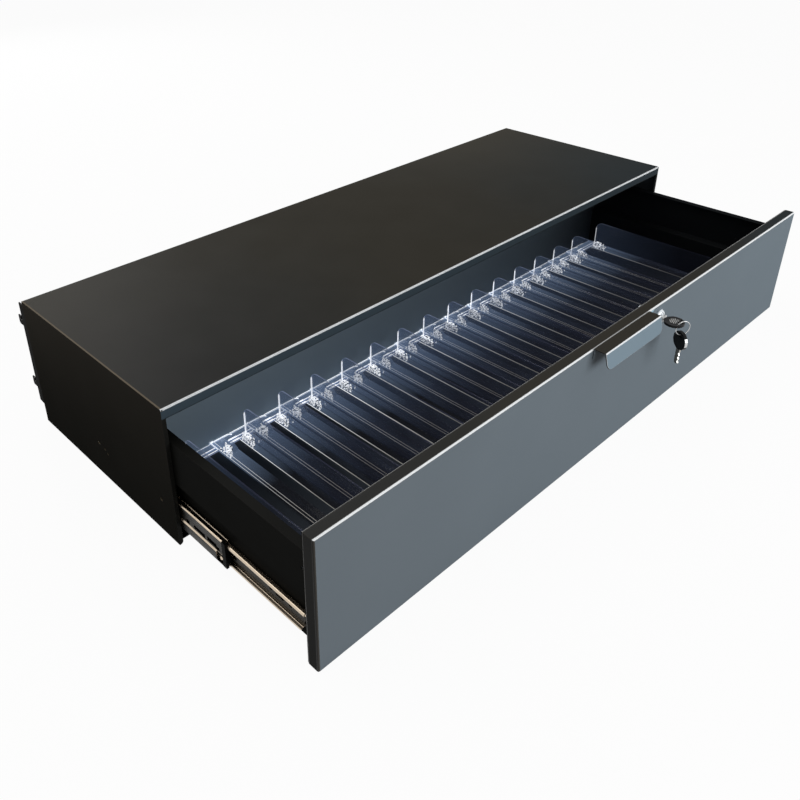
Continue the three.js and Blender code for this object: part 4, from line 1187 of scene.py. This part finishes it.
@dataclass
class SlideSet:
    """The three rolled members of one slide, its front stop and its balls."""

    side: Side
    steel: float = 1.15 * MM
    bend: float = 1.4 * MM
    flat: float = 0.94
    ball: float = 1.1 * MM
    ball_start: float = 20 * MM
    ball_pitch: float = 4.2 * MM
    ball_count: int = 22

    def __post_init__(self) -> None:
        """Measures the slide's surroundings in the CAD nodes."""
        self.word = self.side.word
        self.body = Body(f"slide_middle_{self.word}")
        self.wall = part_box("housing_shell")[1].x
        low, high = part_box(f"slide_cabinet_member_{self.word}")
        self.centre = (low.z + high.z) / 2
        low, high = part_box(f"slide_middle_member_{self.word}")
        self.front, self.rear = low.y, high.y

    def build(self) -> None:
        """Builds the slide's pieces."""
        self._member("cabinet", Body.HOUSING, [
            (9.9, 18.2), (9.2, 21.9), (2.1, 21.9), (2.1, -21.9), (9.2, -21.9), (9.9, -18.2),
        ], [])
        self._member("middle", self.body, [
            (12.1, 13.8), (12.1, 17.2), (6.0, 17.2), (6.0, 13.4), (7.4, 11.6),
            (7.4, -3.6), (6.0, -5.4), (6.0, -17.2), (12.1, -17.2), (12.1, -13.8),
        ], self._middle_cuts())
        # The bead takes the zinc painted as lit.
        bead = block(self._across(10.6, 12.5), (self.front, self.rear), self._up(17.3, 18.7))
        piece = joined(f"slide_bead_{self.word}", [bead], Finish.LIT_ZINC)
        dress(rounded_edges(piece, 0.5 * MM), self.body, Slot.SLIDE_STEEL)
        self._member("drawer", Body.DRAWER, [
            (8.6, 10.9), (8.7, 13.4), (13.6, 13.4), (13.6, 7.0), (12.4, 5.6),
            (12.4, -5.6), (13.6, -7.0), (13.6, -13.4), (8.7, -13.4), (8.6, -9.9),
        ], self._runner_cuts())
        self._bumper()
        self._balls()

    def _x(self, inset_mm: float) -> float:
        """A place along X from its inset in millimetres from the housing's side face."""
        return self.side.sign * (self.wall - inset_mm * MM)

    def _across(self, first_mm: float, last_mm: float) -> Span:
        """Two insets as places along X in rising order."""
        low, high = sorted((self._x(first_mm), self._x(last_mm)))
        return low, high

    def _up(self, low_mm: float, high_mm: float) -> Span:
        """Two heights in millimetres from the slide's centre line."""
        return self.centre + low_mm * MM, self.centre + high_mm * MM

    def _member(self, kind: str, body: Body, path_mm: Points, cuts: list[Solid]) -> None:
        """One rolled member along the length of its CAD node, its bends in zinc painted as lit
        and its flats in zinc painted as shaded.

        Args:
            kind: "cabinet", "middle" or "drawer".
            body: what it rides on.
            path_mm: the section's centre line, as inset and height from the slide's
                centre, in millimetres.
            cuts: solids that are cut from it.
        """
        node = f"slide_{kind}_member_{self.word}"
        low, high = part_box(node)
        path = [(self._x(inset), self.centre + z * MM) for inset, z in path_mm]
        outline = ribbon(filleted(path, self.bend), self.steel)
        obj = joined(f"slide_{kind}_{self.word}", [prism(outline, Axis.Y, low.y, high.y)],
                     Finish.SHADED_ZINC, Finish.LIT_ZINC)
        if cuts:
            cut_from(obj, cuts)
        # Each face takes the zinc painted as lit or as shaded, by which way it faces.
        for polygon in obj.data.polygons:
            bright = self._shines(kind, polygon.normal, polygon.center)
            polygon.material_index = int(bright)
        dress(smooth(obj, 40), body, Slot.SLIDE_STEEL, node)

    def _shines(self, kind: str, normal: Vector, place: Vector) -> bool:
        """Tells whether one face of a member takes the zinc painted as lit.

        Args:
            kind: "cabinet", "middle" or "drawer".
            normal: the face's normal.
            place: its centre.

        Returns:
            True for a bend or a lip, False for the web and what faces down, which take painted
            shade.
        """
        inset, height = self.wall - abs(place.x), abs(place.z - self.centre)
        if kind == "drawer" and height > 9.5 * MM and inset < 9.4 * MM:
            return True
        flange = kind == "middle" and abs(normal.z) > 0.99
        return not (abs(normal.x) > self.flat or normal.z < -0.3 or flange)

    def _cut(self, front: float, points: Points, insets: Span) -> Solid:
        """A cutter from its outline, as distances behind a front and above the centre line."""
        outline = [(front + y * MM, self.centre + z * MM) for y, z in points]
        return prism(outline, Axis.X, *self._across(*insets))

    def _middle_cuts(self) -> list[Solid]:
        """The stepped openings in the middle member's web and the end of its lower lip.

        Returns:
            The cutters.
        """
        shapes = [
            [(11, -3.2), (19, -3.2), (19, -1.2), (33, -1.2), (33, 4.6), (16, 4.6), (16, 2),
             (11, 2)],
            [(37, -3.2), (44, -3.2), (44, -1.6), (58, -1.6), (58, 3.4), (37, 3.4)],
        ]
        shapes += [[(y0, -3), (y1, -3), (y1, 3), (y0, 3)]
                   for y0, y1 in ((66, 73), (90, 130), (160, 176))]
        lip = [(-1, -16.0), (16, -16.0), (16, -3.4), (-1, -3.4)]
        return [*(self._cut(self.front, shape, (4.0, 10.0)) for shape in shapes),
                self._cut(self.front, lip, (5.0, 6.72))]

    def _runner_cuts(self) -> list[Solid]:
        """The screw slots and the slanting front end of the drawer member.

        Returns:
            The cutters.
        """
        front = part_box(f"slide_drawer_member_{self.word}")[0].y
        cuts = []
        for start, length, z, width in ((22, 5, 2.6, 4), (34, 13, 2.2, 4), (52, 5, 2.6, 4),
                                        (110, 14, 0, 5), (210, 5, 0, 5)):
            outline = []
            reach, r = (length - width) / 2, width / 2
            for end in (1, -1):
                for i in range(7):
                    t = math.radians(30 * i - 90 * end)
                    outline.append((start + length / 2 + end * reach + r * math.cos(t),
                                    z + r * math.sin(t)))
            cuts.append(self._cut(front, outline, (11.0, 15.0)))
        nose = [(-1, -15), (9, -15), (5, -11), (3.5, -7), (3.5, -2), (2, 0.5), (-1, 1)]
        return [*cuts, self._cut(front, nose, (6.0, 15.0))]

    def _bumper(self) -> None:
        """The black stop: a cap over the middle member's end, an insert behind its
        windows and a round stub."""
        node = f"slide_bumper_{self.word}"
        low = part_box(node)[0].y
        cap = block(self._across(5.0, 8.4), (low, low + 6.5 * MM), self._up(-16.6, 18.2))
        insert = block(self._across(8.6, 12.2), (low, self.front + 60 * MM),
                       self._up(-11.4, 11.4))
        bumper = rounded_edges(joined(f"{node}_stop", [cap, insert], Finish.STOP), 0.6 * MM)
        dress(bumper, self.body, Slot.BLACK_PLASTIC, node)
        profile = [(0, -1.9), (1.6, -1.9), (2.2, -1.3), (2.2, 1.3), (1.6, 1.9), (0, 1.9)]
        centre = Vector((self._x(7.4), self.front + 7.5 * MM, self.centre - 8.5 * MM))
        stub = lathe([(r * MM, along * MM) for r, along in profile], centre, 24, Axis.X)
        # The stub takes the zinc painted as lit.
        piece = joined(f"slide_stub_{self.word}", [stub], Finish.LIT_ZINC)
        dress(smooth(piece, 40), self.body, Slot.KEY_STEEL)

    def _balls(self) -> None:
        """The balls in the races between the middle and the drawer member."""
        mesh = bpy.data.meshes.new("ball_shape")
        with edited(mesh) as bm:
            bmesh.ops.create_uvsphere(bm, u_segments=12, v_segments=8, radius=self.ball)
        shape = smooth(finished("ball_shape", mesh, Finish.KEY), 180)
        start = self.front + self.ball_start
        places = [Vector((self._x(9.9), start + self.ball_pitch * i, z))
                  for z in self._up(15.2, -15.2) for i in range(self.ball_count)]
        balls = Row(f"slide_balls_{self.word}", shape, places, [Finish.KEY]).build()
        dress(balls, self.body, Slot.KEY_STEEL)


@dataclass
class DrawerBox:
    """The drawer's sides, floor, rear wall, inner liner, front skin and pull."""

    fold: float = 0.45 * MM
    front_fold: float = 0.6 * MM
    front_bend: float = 2.0 * MM
    pull_fold: float = 0.7 * MM
    pull_flange: float = 3 * MM

    def build(self) -> None:
        """Builds the pieces of the drawer box."""
        coats = {f"drawer_side_{side.word}": Finish.INSIDE for side in Side}
        # The floor and the rear wall take copies of the drawer's coat with painted light.
        coats |= {"drawer_floor": Finish.FLOOR, "drawer_rear_wall": Finish.REAR,
                  "panel_liner": Finish.INSIDE}
        for node, coat in coats.items():
            sheet = coated(f"{node}_sheet", node, self.fold, coat, coat)
            dress(sheet, Body.DRAWER, Slot.DRAWER_PAINT, node)
        # The skin's front face takes FRONT, its dark coat with painted light; its returns keep
        # the dark coat.
        skin = coated("front_skin", "panel_skin", self.front_fold, Finish.HOUSING, Finish.EDGE,
                      self.front_bend, Finish.FRONT, held=False)
        dress(skin, Body.DRAWER, Slot.FRONT_PAINT, "panel_skin")
        dress(self._pull(), Body.DRAWER, Slot.HANDLE_PAINT, "handle")

    def _pull(self) -> bpy.types.Object:
        """The folded pull: its leaning face takes painted light, its top plate the dark coat.

        Returns:
            The pull.
        """
        mesh = from_node("handle")
        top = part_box("handle")[1].z
        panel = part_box("panel_skin")[0].y
        # Faces of the flange on the panel take the panel's painted light, so that the flange
        # reads as panel.
        for polygon in mesh.polygons:
            place = polygon.center
            front = polygon.normal.y < -0.7 and place.z < top - self.pull_flange
            flange = place.y > panel - self.pull_flange and polygon.normal.z < 0.5
            polygon.material_index = 3 if flange else 2 if front else 0
        obj = finished("folded_pull", mesh, Finish.HOUSING, Finish.EDGE, Finish.PULL,
                       Finish.FRONT)
        rounded_edges(obj, self.pull_fold, edge_slot=1)
        # The flange's rounded edges take the panel's painted light too.
        for polygon in obj.data.polygons:
            if polygon.center.y > panel - 3.2 * MM and polygon.center.z < top - 1.2 * MM:
                polygon.material_index = 3
        return obj


@dataclass
class Tray:
    """The clear tray: its frame, dividers, track strips and moulded clips."""

    edge: float = 0.25 * MM
    plate: float = 1.9 * MM
    steep: float = 0.7
    half_wall: float = 1.2 * MM
    clip_zone: float = 39 * MM
    clip_edge: float = 6 * MM
    detail_reach: float = 84.7 * MM

    def build(self) -> None:
        """Builds the tray."""
        tray_frame = self._moulded("tray_frame_moulding", "tray_frame", self._frame_look)
        dress(tray_frame, Body.DRAWER, Slot.CLEAR_PLASTIC, "tray_frame")
        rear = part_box("divider_01")[1].y - self.detail_reach
        for stem, name, look, details, thickness, middle in (
            ("divider", "lane_dividers", self._divider_look, self._foot_details, 1.5, 0.5),
            ("track_strip", "lane_tracks", self._strip_look, self._strip_details, 1.4, 0.0),
        ):
            nodes = sorted(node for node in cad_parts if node.startswith(f"{stem}_"))
            boxes = [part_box(node) for node in nodes]
            shape = self._moulded(f"{stem}_shape", nodes[0], look, boxes[0][0])
            self._row(name, shape, [low for low, high in boxes], *nodes)
            self._row(f"{name}_clips", details(), [
                Vector((low.x + (high.x - low.x) * middle, rear, low.z + thickness * MM))
                for low, high in boxes])

    def _row(self, name: str, shape: bpy.types.Object, places: list[Vector],
             *nodes: str) -> None:
        """Repeats a clear shape in every lane and dresses the row."""
        row = Row(name, shape, places, list(Clear)).build()
        dress(smooth(row, 34), Body.DRAWER, Slot.CLEAR_PLASTIC, *nodes)

    def _divider_look(self, normal: Vector, centre: Vector, size: Vector) -> Clear:
        """The look of one face of a divider.

        Args:
            normal: the face's normal.
            centre: its centre, from the low corner of the divider's box.
            size: the size of that box.

        Returns:
            The look.
        """
        if centre.z < self.plate:
            # Foot edges that face left or to the rear take the painted highlight.
            edge = normal.x < -self.steep or normal.y > self.steep
            return Clear.BRIGHT if edge else Clear.PLATE
        if centre.x < size.x / 2 - self.half_wall:
            return Clear.FAINT
        if abs(normal.x) > self.steep:
            return Clear.WALL
        # The wall's rear edge takes the painted highlight, its other edges a dimmer one.
        return Clear.BRIGHT if centre.y > size.y - 0.5 * MM else Clear.DIM

    def _strip_look(self, normal: Vector, centre: Vector, size: Vector) -> Clear:
        """The look of one face of a track strip.

        Args:
            normal: the face's normal.
            centre: its centre, from the low corner of the strip's box.
            size: the size of that box.

        Returns:
            The look.
        """
        rearward = centre.y > size.y - self.clip_zone
        if rearward and centre.z > self.plate and centre.x > self.clip_edge:
            return Clear.FAINT
        # Faces towards the rear take the painted highlight, rib tops a painted highlight line.
        if normal.y > self.steep:
            return Clear.BRIGHT
        rib = centre.z > self.plate - 0.3 * MM and normal.z > self.steep
        return Clear.LINE if rib else Clear.PLATE

    def _frame_look(self, normal: Vector, centre: Vector, size: Vector) -> Clear:
        """The look of one face of the tray's frame.

        Args:
            normal: the face's normal.
            centre: its centre, from the low corner of the frame's box.
            size: the size of that box; not used.

        Returns:
            The look.
        """
        # Faces towards the rear and rib tops take the painted highlight, faces towards the front
        # a dimmer one.
        if abs(normal.y) > self.steep:
            return Clear.BRIGHT if normal.y > 0 else Clear.DIM
        rib = centre.z > self.plate and normal.z > self.steep
        return Clear.BRIGHT if rib else Clear.PLATE

    def _moulded(self, name: str, node: str, look: Look,
                 origin: Vector | None = None) -> bpy.types.Object:
        """A clear moulding from a CAD node, dressed face by face.

        Args:
            name: the piece's name.
            node: the CAD node.
            look: gives the look of a face from its normal, its centre and the size.
            origin: the point that becomes the mesh's origin, or none to leave it.

        Returns:
            The moulding.
        """
        mesh = from_node(node)
        low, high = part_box(node)
        for polygon in mesh.polygons:
            face = look(polygon.normal, Vector(polygon.center) - low, high - low)
            polygon.material_index = face.slot
        if origin is not None:
            mesh.transform(Matrix.Translation(-origin))
        return rounded_edges(finished(name, mesh, *Clear), self.edge, 2)

    def _foot_details(self) -> bpy.types.Object:
        """The mouldings on a divider's foot: a ring boss, a framed hole, pegs and a tab,
        with a thin piece on the wall's rear edge that carries a painted highlight.

        Returns:
            The shape.
        """
        parts = [tube(-4.4, 82.2, 2.3, 1.2, 8.5, 12)]
        for x, y, radius, height in ((-6.8, 65.6, 1.4, 9.5), (-5.4, 61.2, 1.5, 6.5),
                                     (-2.6, 65.0, 1.3, 8.6), (-8.2, 60.0, 1.2, 3.2),
                                     (-8.0, 80.6, 1.0, 7.0), (3.4, 62, 1.1, 3.0)):
            parts.append(peg(x, y, 0, radius, height))
        for x0, y0, x1, y1 in ((-8.4, 69.4, -7.1, 78), (-2.8, 69.4, -1.4, 78),
                               (-7.1, 69.4, -2.8, 70.7), (-7.1, 76.7, -2.8, 78)):
            parts.append(block((x0 * MM, x1 * MM), (y0 * MM, y1 * MM), (0, 9.8 * MM)))
        # A thin piece on the wall's rear edge that carries a painted highlight.
        edge = block((-1.0 * MM, 1.0 * MM), (84.1 * MM, 84.72 * MM), (0.2 * MM, 34.4 * MM))
        return self._details("foot_detail_shape", parts, [edge])

    def _strip_details(self) -> bpy.types.Object:
        """The mouldings on a strip's rear end: a finned boss, pegs and tabs, with thin
        rims round its rear corner and across it that carry painted highlights.

        Returns:
            The shape.
        """
        x, y, fin = 8.4, 75, 5.0
        parts = [tube(x, y, 2.9, 1.5, 7.4, 14)]
        for i in range(7):
            t = math.radians(360 / 7 * i + 20)
            height = 5.2 + 2.2 * (i % 2)
            parts.append(peg(x + fin * math.cos(t), y + fin * math.sin(t), 0, 1.2, height, 8))
        for x, y, radius, height in ((1.6, 80.0, 1.3, 5.0), (11.5, 83.2, 1.3, 6.6),
                                     (2.2, 67.5, 1.5, 6.4), (6.2, 65.0, 1.6, 7.4),
                                     (3.0, 61.6, 1.4, 4.8), (1.2, 73.0, 1.2, 4.6)):
            parts.append(peg(x, y, 0, radius, height))
        parts.append(block((4.6 * MM, 9.4 * MM), (68.6 * MM, 69.6 * MM), (0, 5.0 * MM)))
        # Thin rims that carry painted highlights.
        rims = []
        for path, thickness, height in (
            ([(0.6, 86), (0.6, 102.4), (5.0, 102.4)], 1.1, 1.5),
            ([(4.0, 102.4), (28.0, 102.4), (31.5, 98.0)], 0.9, 0.6),
            ([(31.0, 102.6), (56.0, 102.6)], 0.7, 0.3),
            ([(20.6, 85.7), (33.6, 85.7)], 1.6, 0.9), ([(20.6, 91.2), (33.6, 91.2)], 1.4, 0.9),
        ):
            line = filleted([(x * MM, y * MM) for x, y in path], 3 * MM)
            rims.append(prism(ribbon(line, thickness * MM), Axis.Z, -0.1 * MM, height * MM))
        return self._details("strip_detail_shape", parts, rims)

    def _details(self, name: str, parts: list[Solid], lines: list[Solid]) -> bpy.types.Object:
        """Small mouldings whose upright sides take painted sparkle and whose tops take the
        painted highlight.

        Args:
            name: the shape's name.
            parts: the mouldings.
            lines: thin pieces that carry a painted highlight all round.

        Returns:
            The shape.
        """
        plain = sum(len(part.faces) for part in parts)
        obj = joined(name, parts + lines, *Clear)
        for polygon in obj.data.polygons:
            # Tops and the thin pieces take the painted highlight, upright sides the painted
            # sparkle.
            bright = polygon.normal.z > self.steep or polygon.index >= plain
            polygon.material_index = (Clear.BRIGHT if bright else Clear.SPARK).slot
        return smooth(obj, 34)


@dataclass
class CamLock:
    """The lock's bezel and barrel, its nut, plug and cam."""

    bore: float = 6.3 * MM
    barrel: float = 8.0 * MM
    flange: float = 4 * MM

    def build(self) -> None:
        """Builds the lock."""
        bezel = joined("lock_bezel", [self._bezel()], Finish.CHROME)
        dress(smooth(bezel, 30), Body.DRAWER, Slot.CHROME, "lock_body")
        # The nut and the cam take the zinc painted as shaded; the plug is chrome.
        for name, node, body, slot, coat in (
            ("lock_fixing_nut", "lock_nut", Body.DRAWER, Slot.SLIDE_STEEL, Finish.SHADED_ZINC),
            ("lock_turning_plug", "lock_plug", Body.CYLINDER, Slot.CHROME, Finish.CHROME),
            ("lock_cam_plate", "lock_cam", Body.CYLINDER, Slot.SLIDE_STEEL, Finish.SHADED_ZINC),
        ):
            piece = rounded_edges(finished(name, from_node(node), coat), 0.3 * MM, 2)
            dress(piece, body, slot, node)

    def _bezel(self) -> Solid:
        """The bezel and the barrel behind it, turned about the lock's axis.

        Returns:
            The solid.
        """
        low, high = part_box("lock_body")
        centre = Vector(((low.x + high.x) / 2, 0, (low.z + high.z) / 2))
        outer, front, rear = (high.x - low.x) / 2, low.y, high.y
        face, bore, barrel = front + self.flange, self.bore, self.barrel
        return lathe([
            (bore, front + 0.4 * MM), (bore + 0.4 * MM, front), (outer - 1.7 * MM, front),
            (outer - 1.3 * MM, front + 0.3 * MM), (outer - 0.3 * MM, front + 1.6 * MM),
            (outer, front + 2.0 * MM), (outer, face - 0.2 * MM), (outer - 0.2 * MM, face),
            (barrel, face), (barrel, rear - 0.4 * MM), (barrel - 0.4 * MM, rear),
            (bore + 0.2 * MM, rear), (bore, rear - 0.3 * MM),
        ], centre, 64, Axis.Y)


@dataclass
class KeySet:
    """The key in the lock, the split ring and the spare key."""

    yaw: float = math.radians(60.0)
    coil: float = 0.46 * MM
    rim: float = 1.7 * MM
    recess: float = 0.35 * MM
    dot_pitch: float = 1.7 * MM
    turns: float = 1.94
    steps: int = 140

    def __post_init__(self) -> None:
        """Works out the directions along the ring's plane and across it."""
        self.along = Vector((math.sin(self.yaw), -math.cos(self.yaw), 0))
        self.aside = Vector((math.cos(self.yaw), math.sin(self.yaw), 0))

    def build(self) -> None:
        """Builds the keys and the ring."""
        for stem, body in (("key", Body.KEY), ("spare_key", Body.SPARE)):
            head = finished(f"{stem}_grip", self._head(f"{stem}_head"), Finish.BLACK,
                            Finish.RING)
            rounded_edges(head, 0.55 * MM)
            # The spare key's rim gets a painted highlight on one side.
            if body is Body.SPARE:
                self._rim_highlight(head)
            dress(head, body, Slot.BLACK_PLASTIC, f"{stem}_head")
            mesh = from_node(f"{stem}_blade")
            # The blade's flat faces take the key steel in painted shade; its edges keep the plain
            # key steel.
            flat = max(mesh.polygons, key=lambda polygon: polygon.area).normal.copy()
            for polygon in mesh.polygons:
                polygon.material_index = int(abs(polygon.normal.dot(flat)) > 0.95)
            blade = finished(f"{stem}_shank", mesh, Finish.KEY, Finish.BLADE)
            dress(rounded_edges(blade, 0.2 * MM, 2), body, Slot.KEY_STEEL, f"{stem}_blade")
        self._shoulder()
        self._dots()
        self._ring()

    def _head(self, node: str) -> bpy.types.Mesh:
        """A key's head with a recessed field inside a raised rim on both flat faces.

        Args:
            node: the head's CAD node.

        Returns:
            Its mesh.
        """
        mesh = from_node(node)
        with edited(mesh) as bm:
            thin = max(bm.faces, key=lambda face: face.calc_area()).normal.copy()
            for sign in (1, -1):
                flat = [face for face in bm.faces if sign * face.normal.dot(thin) > 0.95]
                bmesh.ops.inset_region(bm, faces=flat, thickness=self.rim, depth=-self.recess,
                                       use_even_offset=False, use_boundary=True)
        return mesh

    def _rim_highlight(self, head: bpy.types.Object) -> None:
        """Paints a highlight in bright steel on one side of the spare key's rim.

        Args:
            head: the spare key's head.
        """
        for polygon in head.data.polygons:
            normal = polygon.normal
            edge = abs(normal.dot(self.along)) < 0.6 and -0.25 < normal.z < 0.65
            if edge and normal.dot(self.aside) < -0.86:
                polygon.material_index = 1

    def _shoulder(self) -> None:
        """The bright shoulder between the key's head and the lock."""
        low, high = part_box("key_blade")
        x = (low.x + high.x) / 2
        parts = [block((x - half * MM, x + half * MM), (low.y + start * MM, low.y + end * MM),
                       (low.z - 1.4 * MM, high.z + 1.8 * MM))
                 for half, start, end in ((4.7, 0.1, 2.3), (4.0, 2.3, 4.2))]
        piece = joined("key_shoulder", parts, Finish.RING)
        dress(rounded_edges(piece, 0.25 * MM, 2), Body.KEY, Slot.KEY_STEEL)

    def _dots(self) -> None:
        """A lozenge of small raised dots on the upper face of the key's head."""
        low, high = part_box("key_head")
        centre = (low + high) / 2
        places = []
        for i in range(-2, 3):
            for j in range(-2, 3):
                x = centre.x + (i - j) * self.dot_pitch + 0.5 * MM
                y = centre.y + (i + j) * self.dot_pitch + 0.4 * MM
                if abs(i) + abs(j) < 4 and y > centre.y - 3.2 * MM:
                    places.append(Vector((x, y, high.z - self.recess)))
        shape = joined("dot_shape", [peg(0, 0, -0.2, 0.8, 0.6, 8)], Finish.DOT)
        dots = Row("key_grip_dots", smooth(shape, 40), places, [Finish.DOT]).build()
        dress(dots, Body.KEY, Slot.BLACK_PLASTIC)

    def _ring(self) -> None:
        """The split ring: two close turns of flattened wire."""
        low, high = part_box("key_ring")
        radius = (high.z - low.z) / 2 - self.coil
        section = [2 * math.pi * k / 10 for k in range(10)]
        rings = []
        for i in range(self.steps + 1):
            share = i / self.steps
            t = 2 * math.pi * self.turns * share
            side = max(-1.0, min(1.0, (share - 0.5) * 20)) * self.coil * 0.7
            out = self.along * math.cos(t) + Vector((0, 0, math.sin(t)))
            centre = (low + high) / 2 + self.aside * side + out * radius
            tall, wide = out * self.coil, self.aside * (self.coil * 0.66)
            rings.append([centre + tall * math.cos(s) + wide * math.sin(s) for s in section])
        piece = joined("split_ring", [skinned(rings, False)], Finish.RING)
        dress(smooth(piece, 50), Body.RING, Slot.KEY_STEEL, "key_ring")


@dataclass
class Studio:
    """The camera, the lamps, the world and the floor."""

    eye: tuple[float, ...] = (-0.83121, -0.79164, 0.50051)
    turn: tuple[float, ...] = (61.42381, 1.18283, -42.82793)
    lens: float = 37.639
    shift: Span = (0.08277, -0.12795)
    ambient: float = 0.26
    reach: float = 14.0

    def build(self) -> None:
        """Builds the studio."""
        self._camera()
        self._world()
        self._floor()
        self._lamp("front_soft", (0.5, -2.6, 0.5), (0.1, 0.0, -0.1), (2.4, 1.4), 44,
                   (0.97, 0.99, 1.0))
        self._lamp("top_soft", (-1.0, 0.9, 2.6), (-0.1, 0.0, 0.0), (2.6, 2.6), 26,
                   (1.0, 0.98, 0.95))
        self._lamp("rear_strip", (0.45, 2.4, 1.2), (-0.3, 0.0, 0.0), (0.7, 1.8), 18,
                   (1.0, 1.0, 1.0))
        bpy.context.scene.view_settings.view_transform = "Standard"

    def _camera(self) -> None:
        """The camera at the photograph's place, angle and framing."""
        data = bpy.data.cameras.new("camera")
        data.sensor_width, data.lens = 36.0, self.lens
        data.shift_x, data.shift_y = self.shift
        data.clip_start, data.clip_end = 0.02, 60.0
        camera = linked("camera", data)
        camera.location = self.eye
        camera.rotation_euler = [math.radians(angle) for angle in self.turn]
        bpy.context.scene.camera = camera

    def _world(self) -> None:
        """A plain world that is white to the camera, in gloss and through clear parts."""
        world = bpy.data.worlds.new("studio")
        world.use_nodes = True
        bpy.context.scene.world = world
        g = Graph(world.node_tree)
        ray = g.add("ShaderNodeLightPath")
        seen = ray["Is Camera Ray"]
        for word in ("Is Glossy Ray", "Is Transmission Ray"):
            seen = g.maths("MAXIMUM", seen, ray[word])
        inputs = {"Value": seen, "To Min": self.ambient, "To Max": 1.0}
        strength = g.add("ShaderNodeMapRange", inputs)
        sky = g.add("ShaderNodeBackground", {"Color": WHITE, "Strength": strength})
        g.add("ShaderNodeOutputWorld", {"Surface": sky})

    def _floor(self) -> None:
        """A pale floor that stays dim to diffuse bounces and keeps the shadow."""
        mesh = bpy.data.meshes.new("floor")
        corners = [(x * self.reach, y * self.reach, CAD_BOX[0].z)
                   for x, y in ((-1, -1), (1, -1), (1, 1), (-1, 1))]
        mesh.from_pydata(corners, [], [(0, 1, 2, 3)])
        g = Shading("pale_floor")
        pale = g.add("ShaderNodeBsdfDiffuse", {"Color": (0.92, 0.92, 0.92, 1)})
        dim = g.add("ShaderNodeBsdfDiffuse", {"Color": (0.20, 0.20, 0.20, 1)})
        white = g.add("ShaderNodeEmission", {"Color": WHITE, "Strength": 1.0})
        lit = g.add("ShaderNodeMixShader", {0: 0.95, 1: pale, 2: white})
        bounce = g.add("ShaderNodeLightPath", out="Is Diffuse Ray")
        mesh.materials.append(g.finish(g.add("ShaderNodeMixShader", {0: bounce, 1: lit, 2: dim})))
        linked("floor", mesh)

    def _lamp(self, name: str, place: tuple, aim: tuple, size: Span, watts: float,
              colour: tuple) -> None:
        """One rectangular soft lamp.

        Args:
            name: its name.
            place: where it stands.
            aim: the point that it faces.
            size: its width and height.
            watts: its power.
            colour: its colour.
        """
        data = bpy.data.lights.new(name, "AREA")
        data.shape, data.energy, data.color = "RECTANGLE", watts, colour
        data.size, data.size_y = size
        lamp = linked(name, data)
        lamp.location = place
        lamp.rotation_mode = "QUATERNION"
        lamp.rotation_quaternion = (Vector(aim) - Vector(place)).to_track_quat("-Z", "Y")


def main() -> None:
    """Builds the studio and every sub-assembly in order."""
    logging.basicConfig(level=logging.INFO, format="%(name)s %(message)s")
    slides = [SlideSet(side) for side in Side]
    for assembly in (Studio(), Housing(), *slides, DrawerBox(), Tray(), CamLock(), KeySet()):
        assembly.build()


if __name__ == "__main__":
    main()
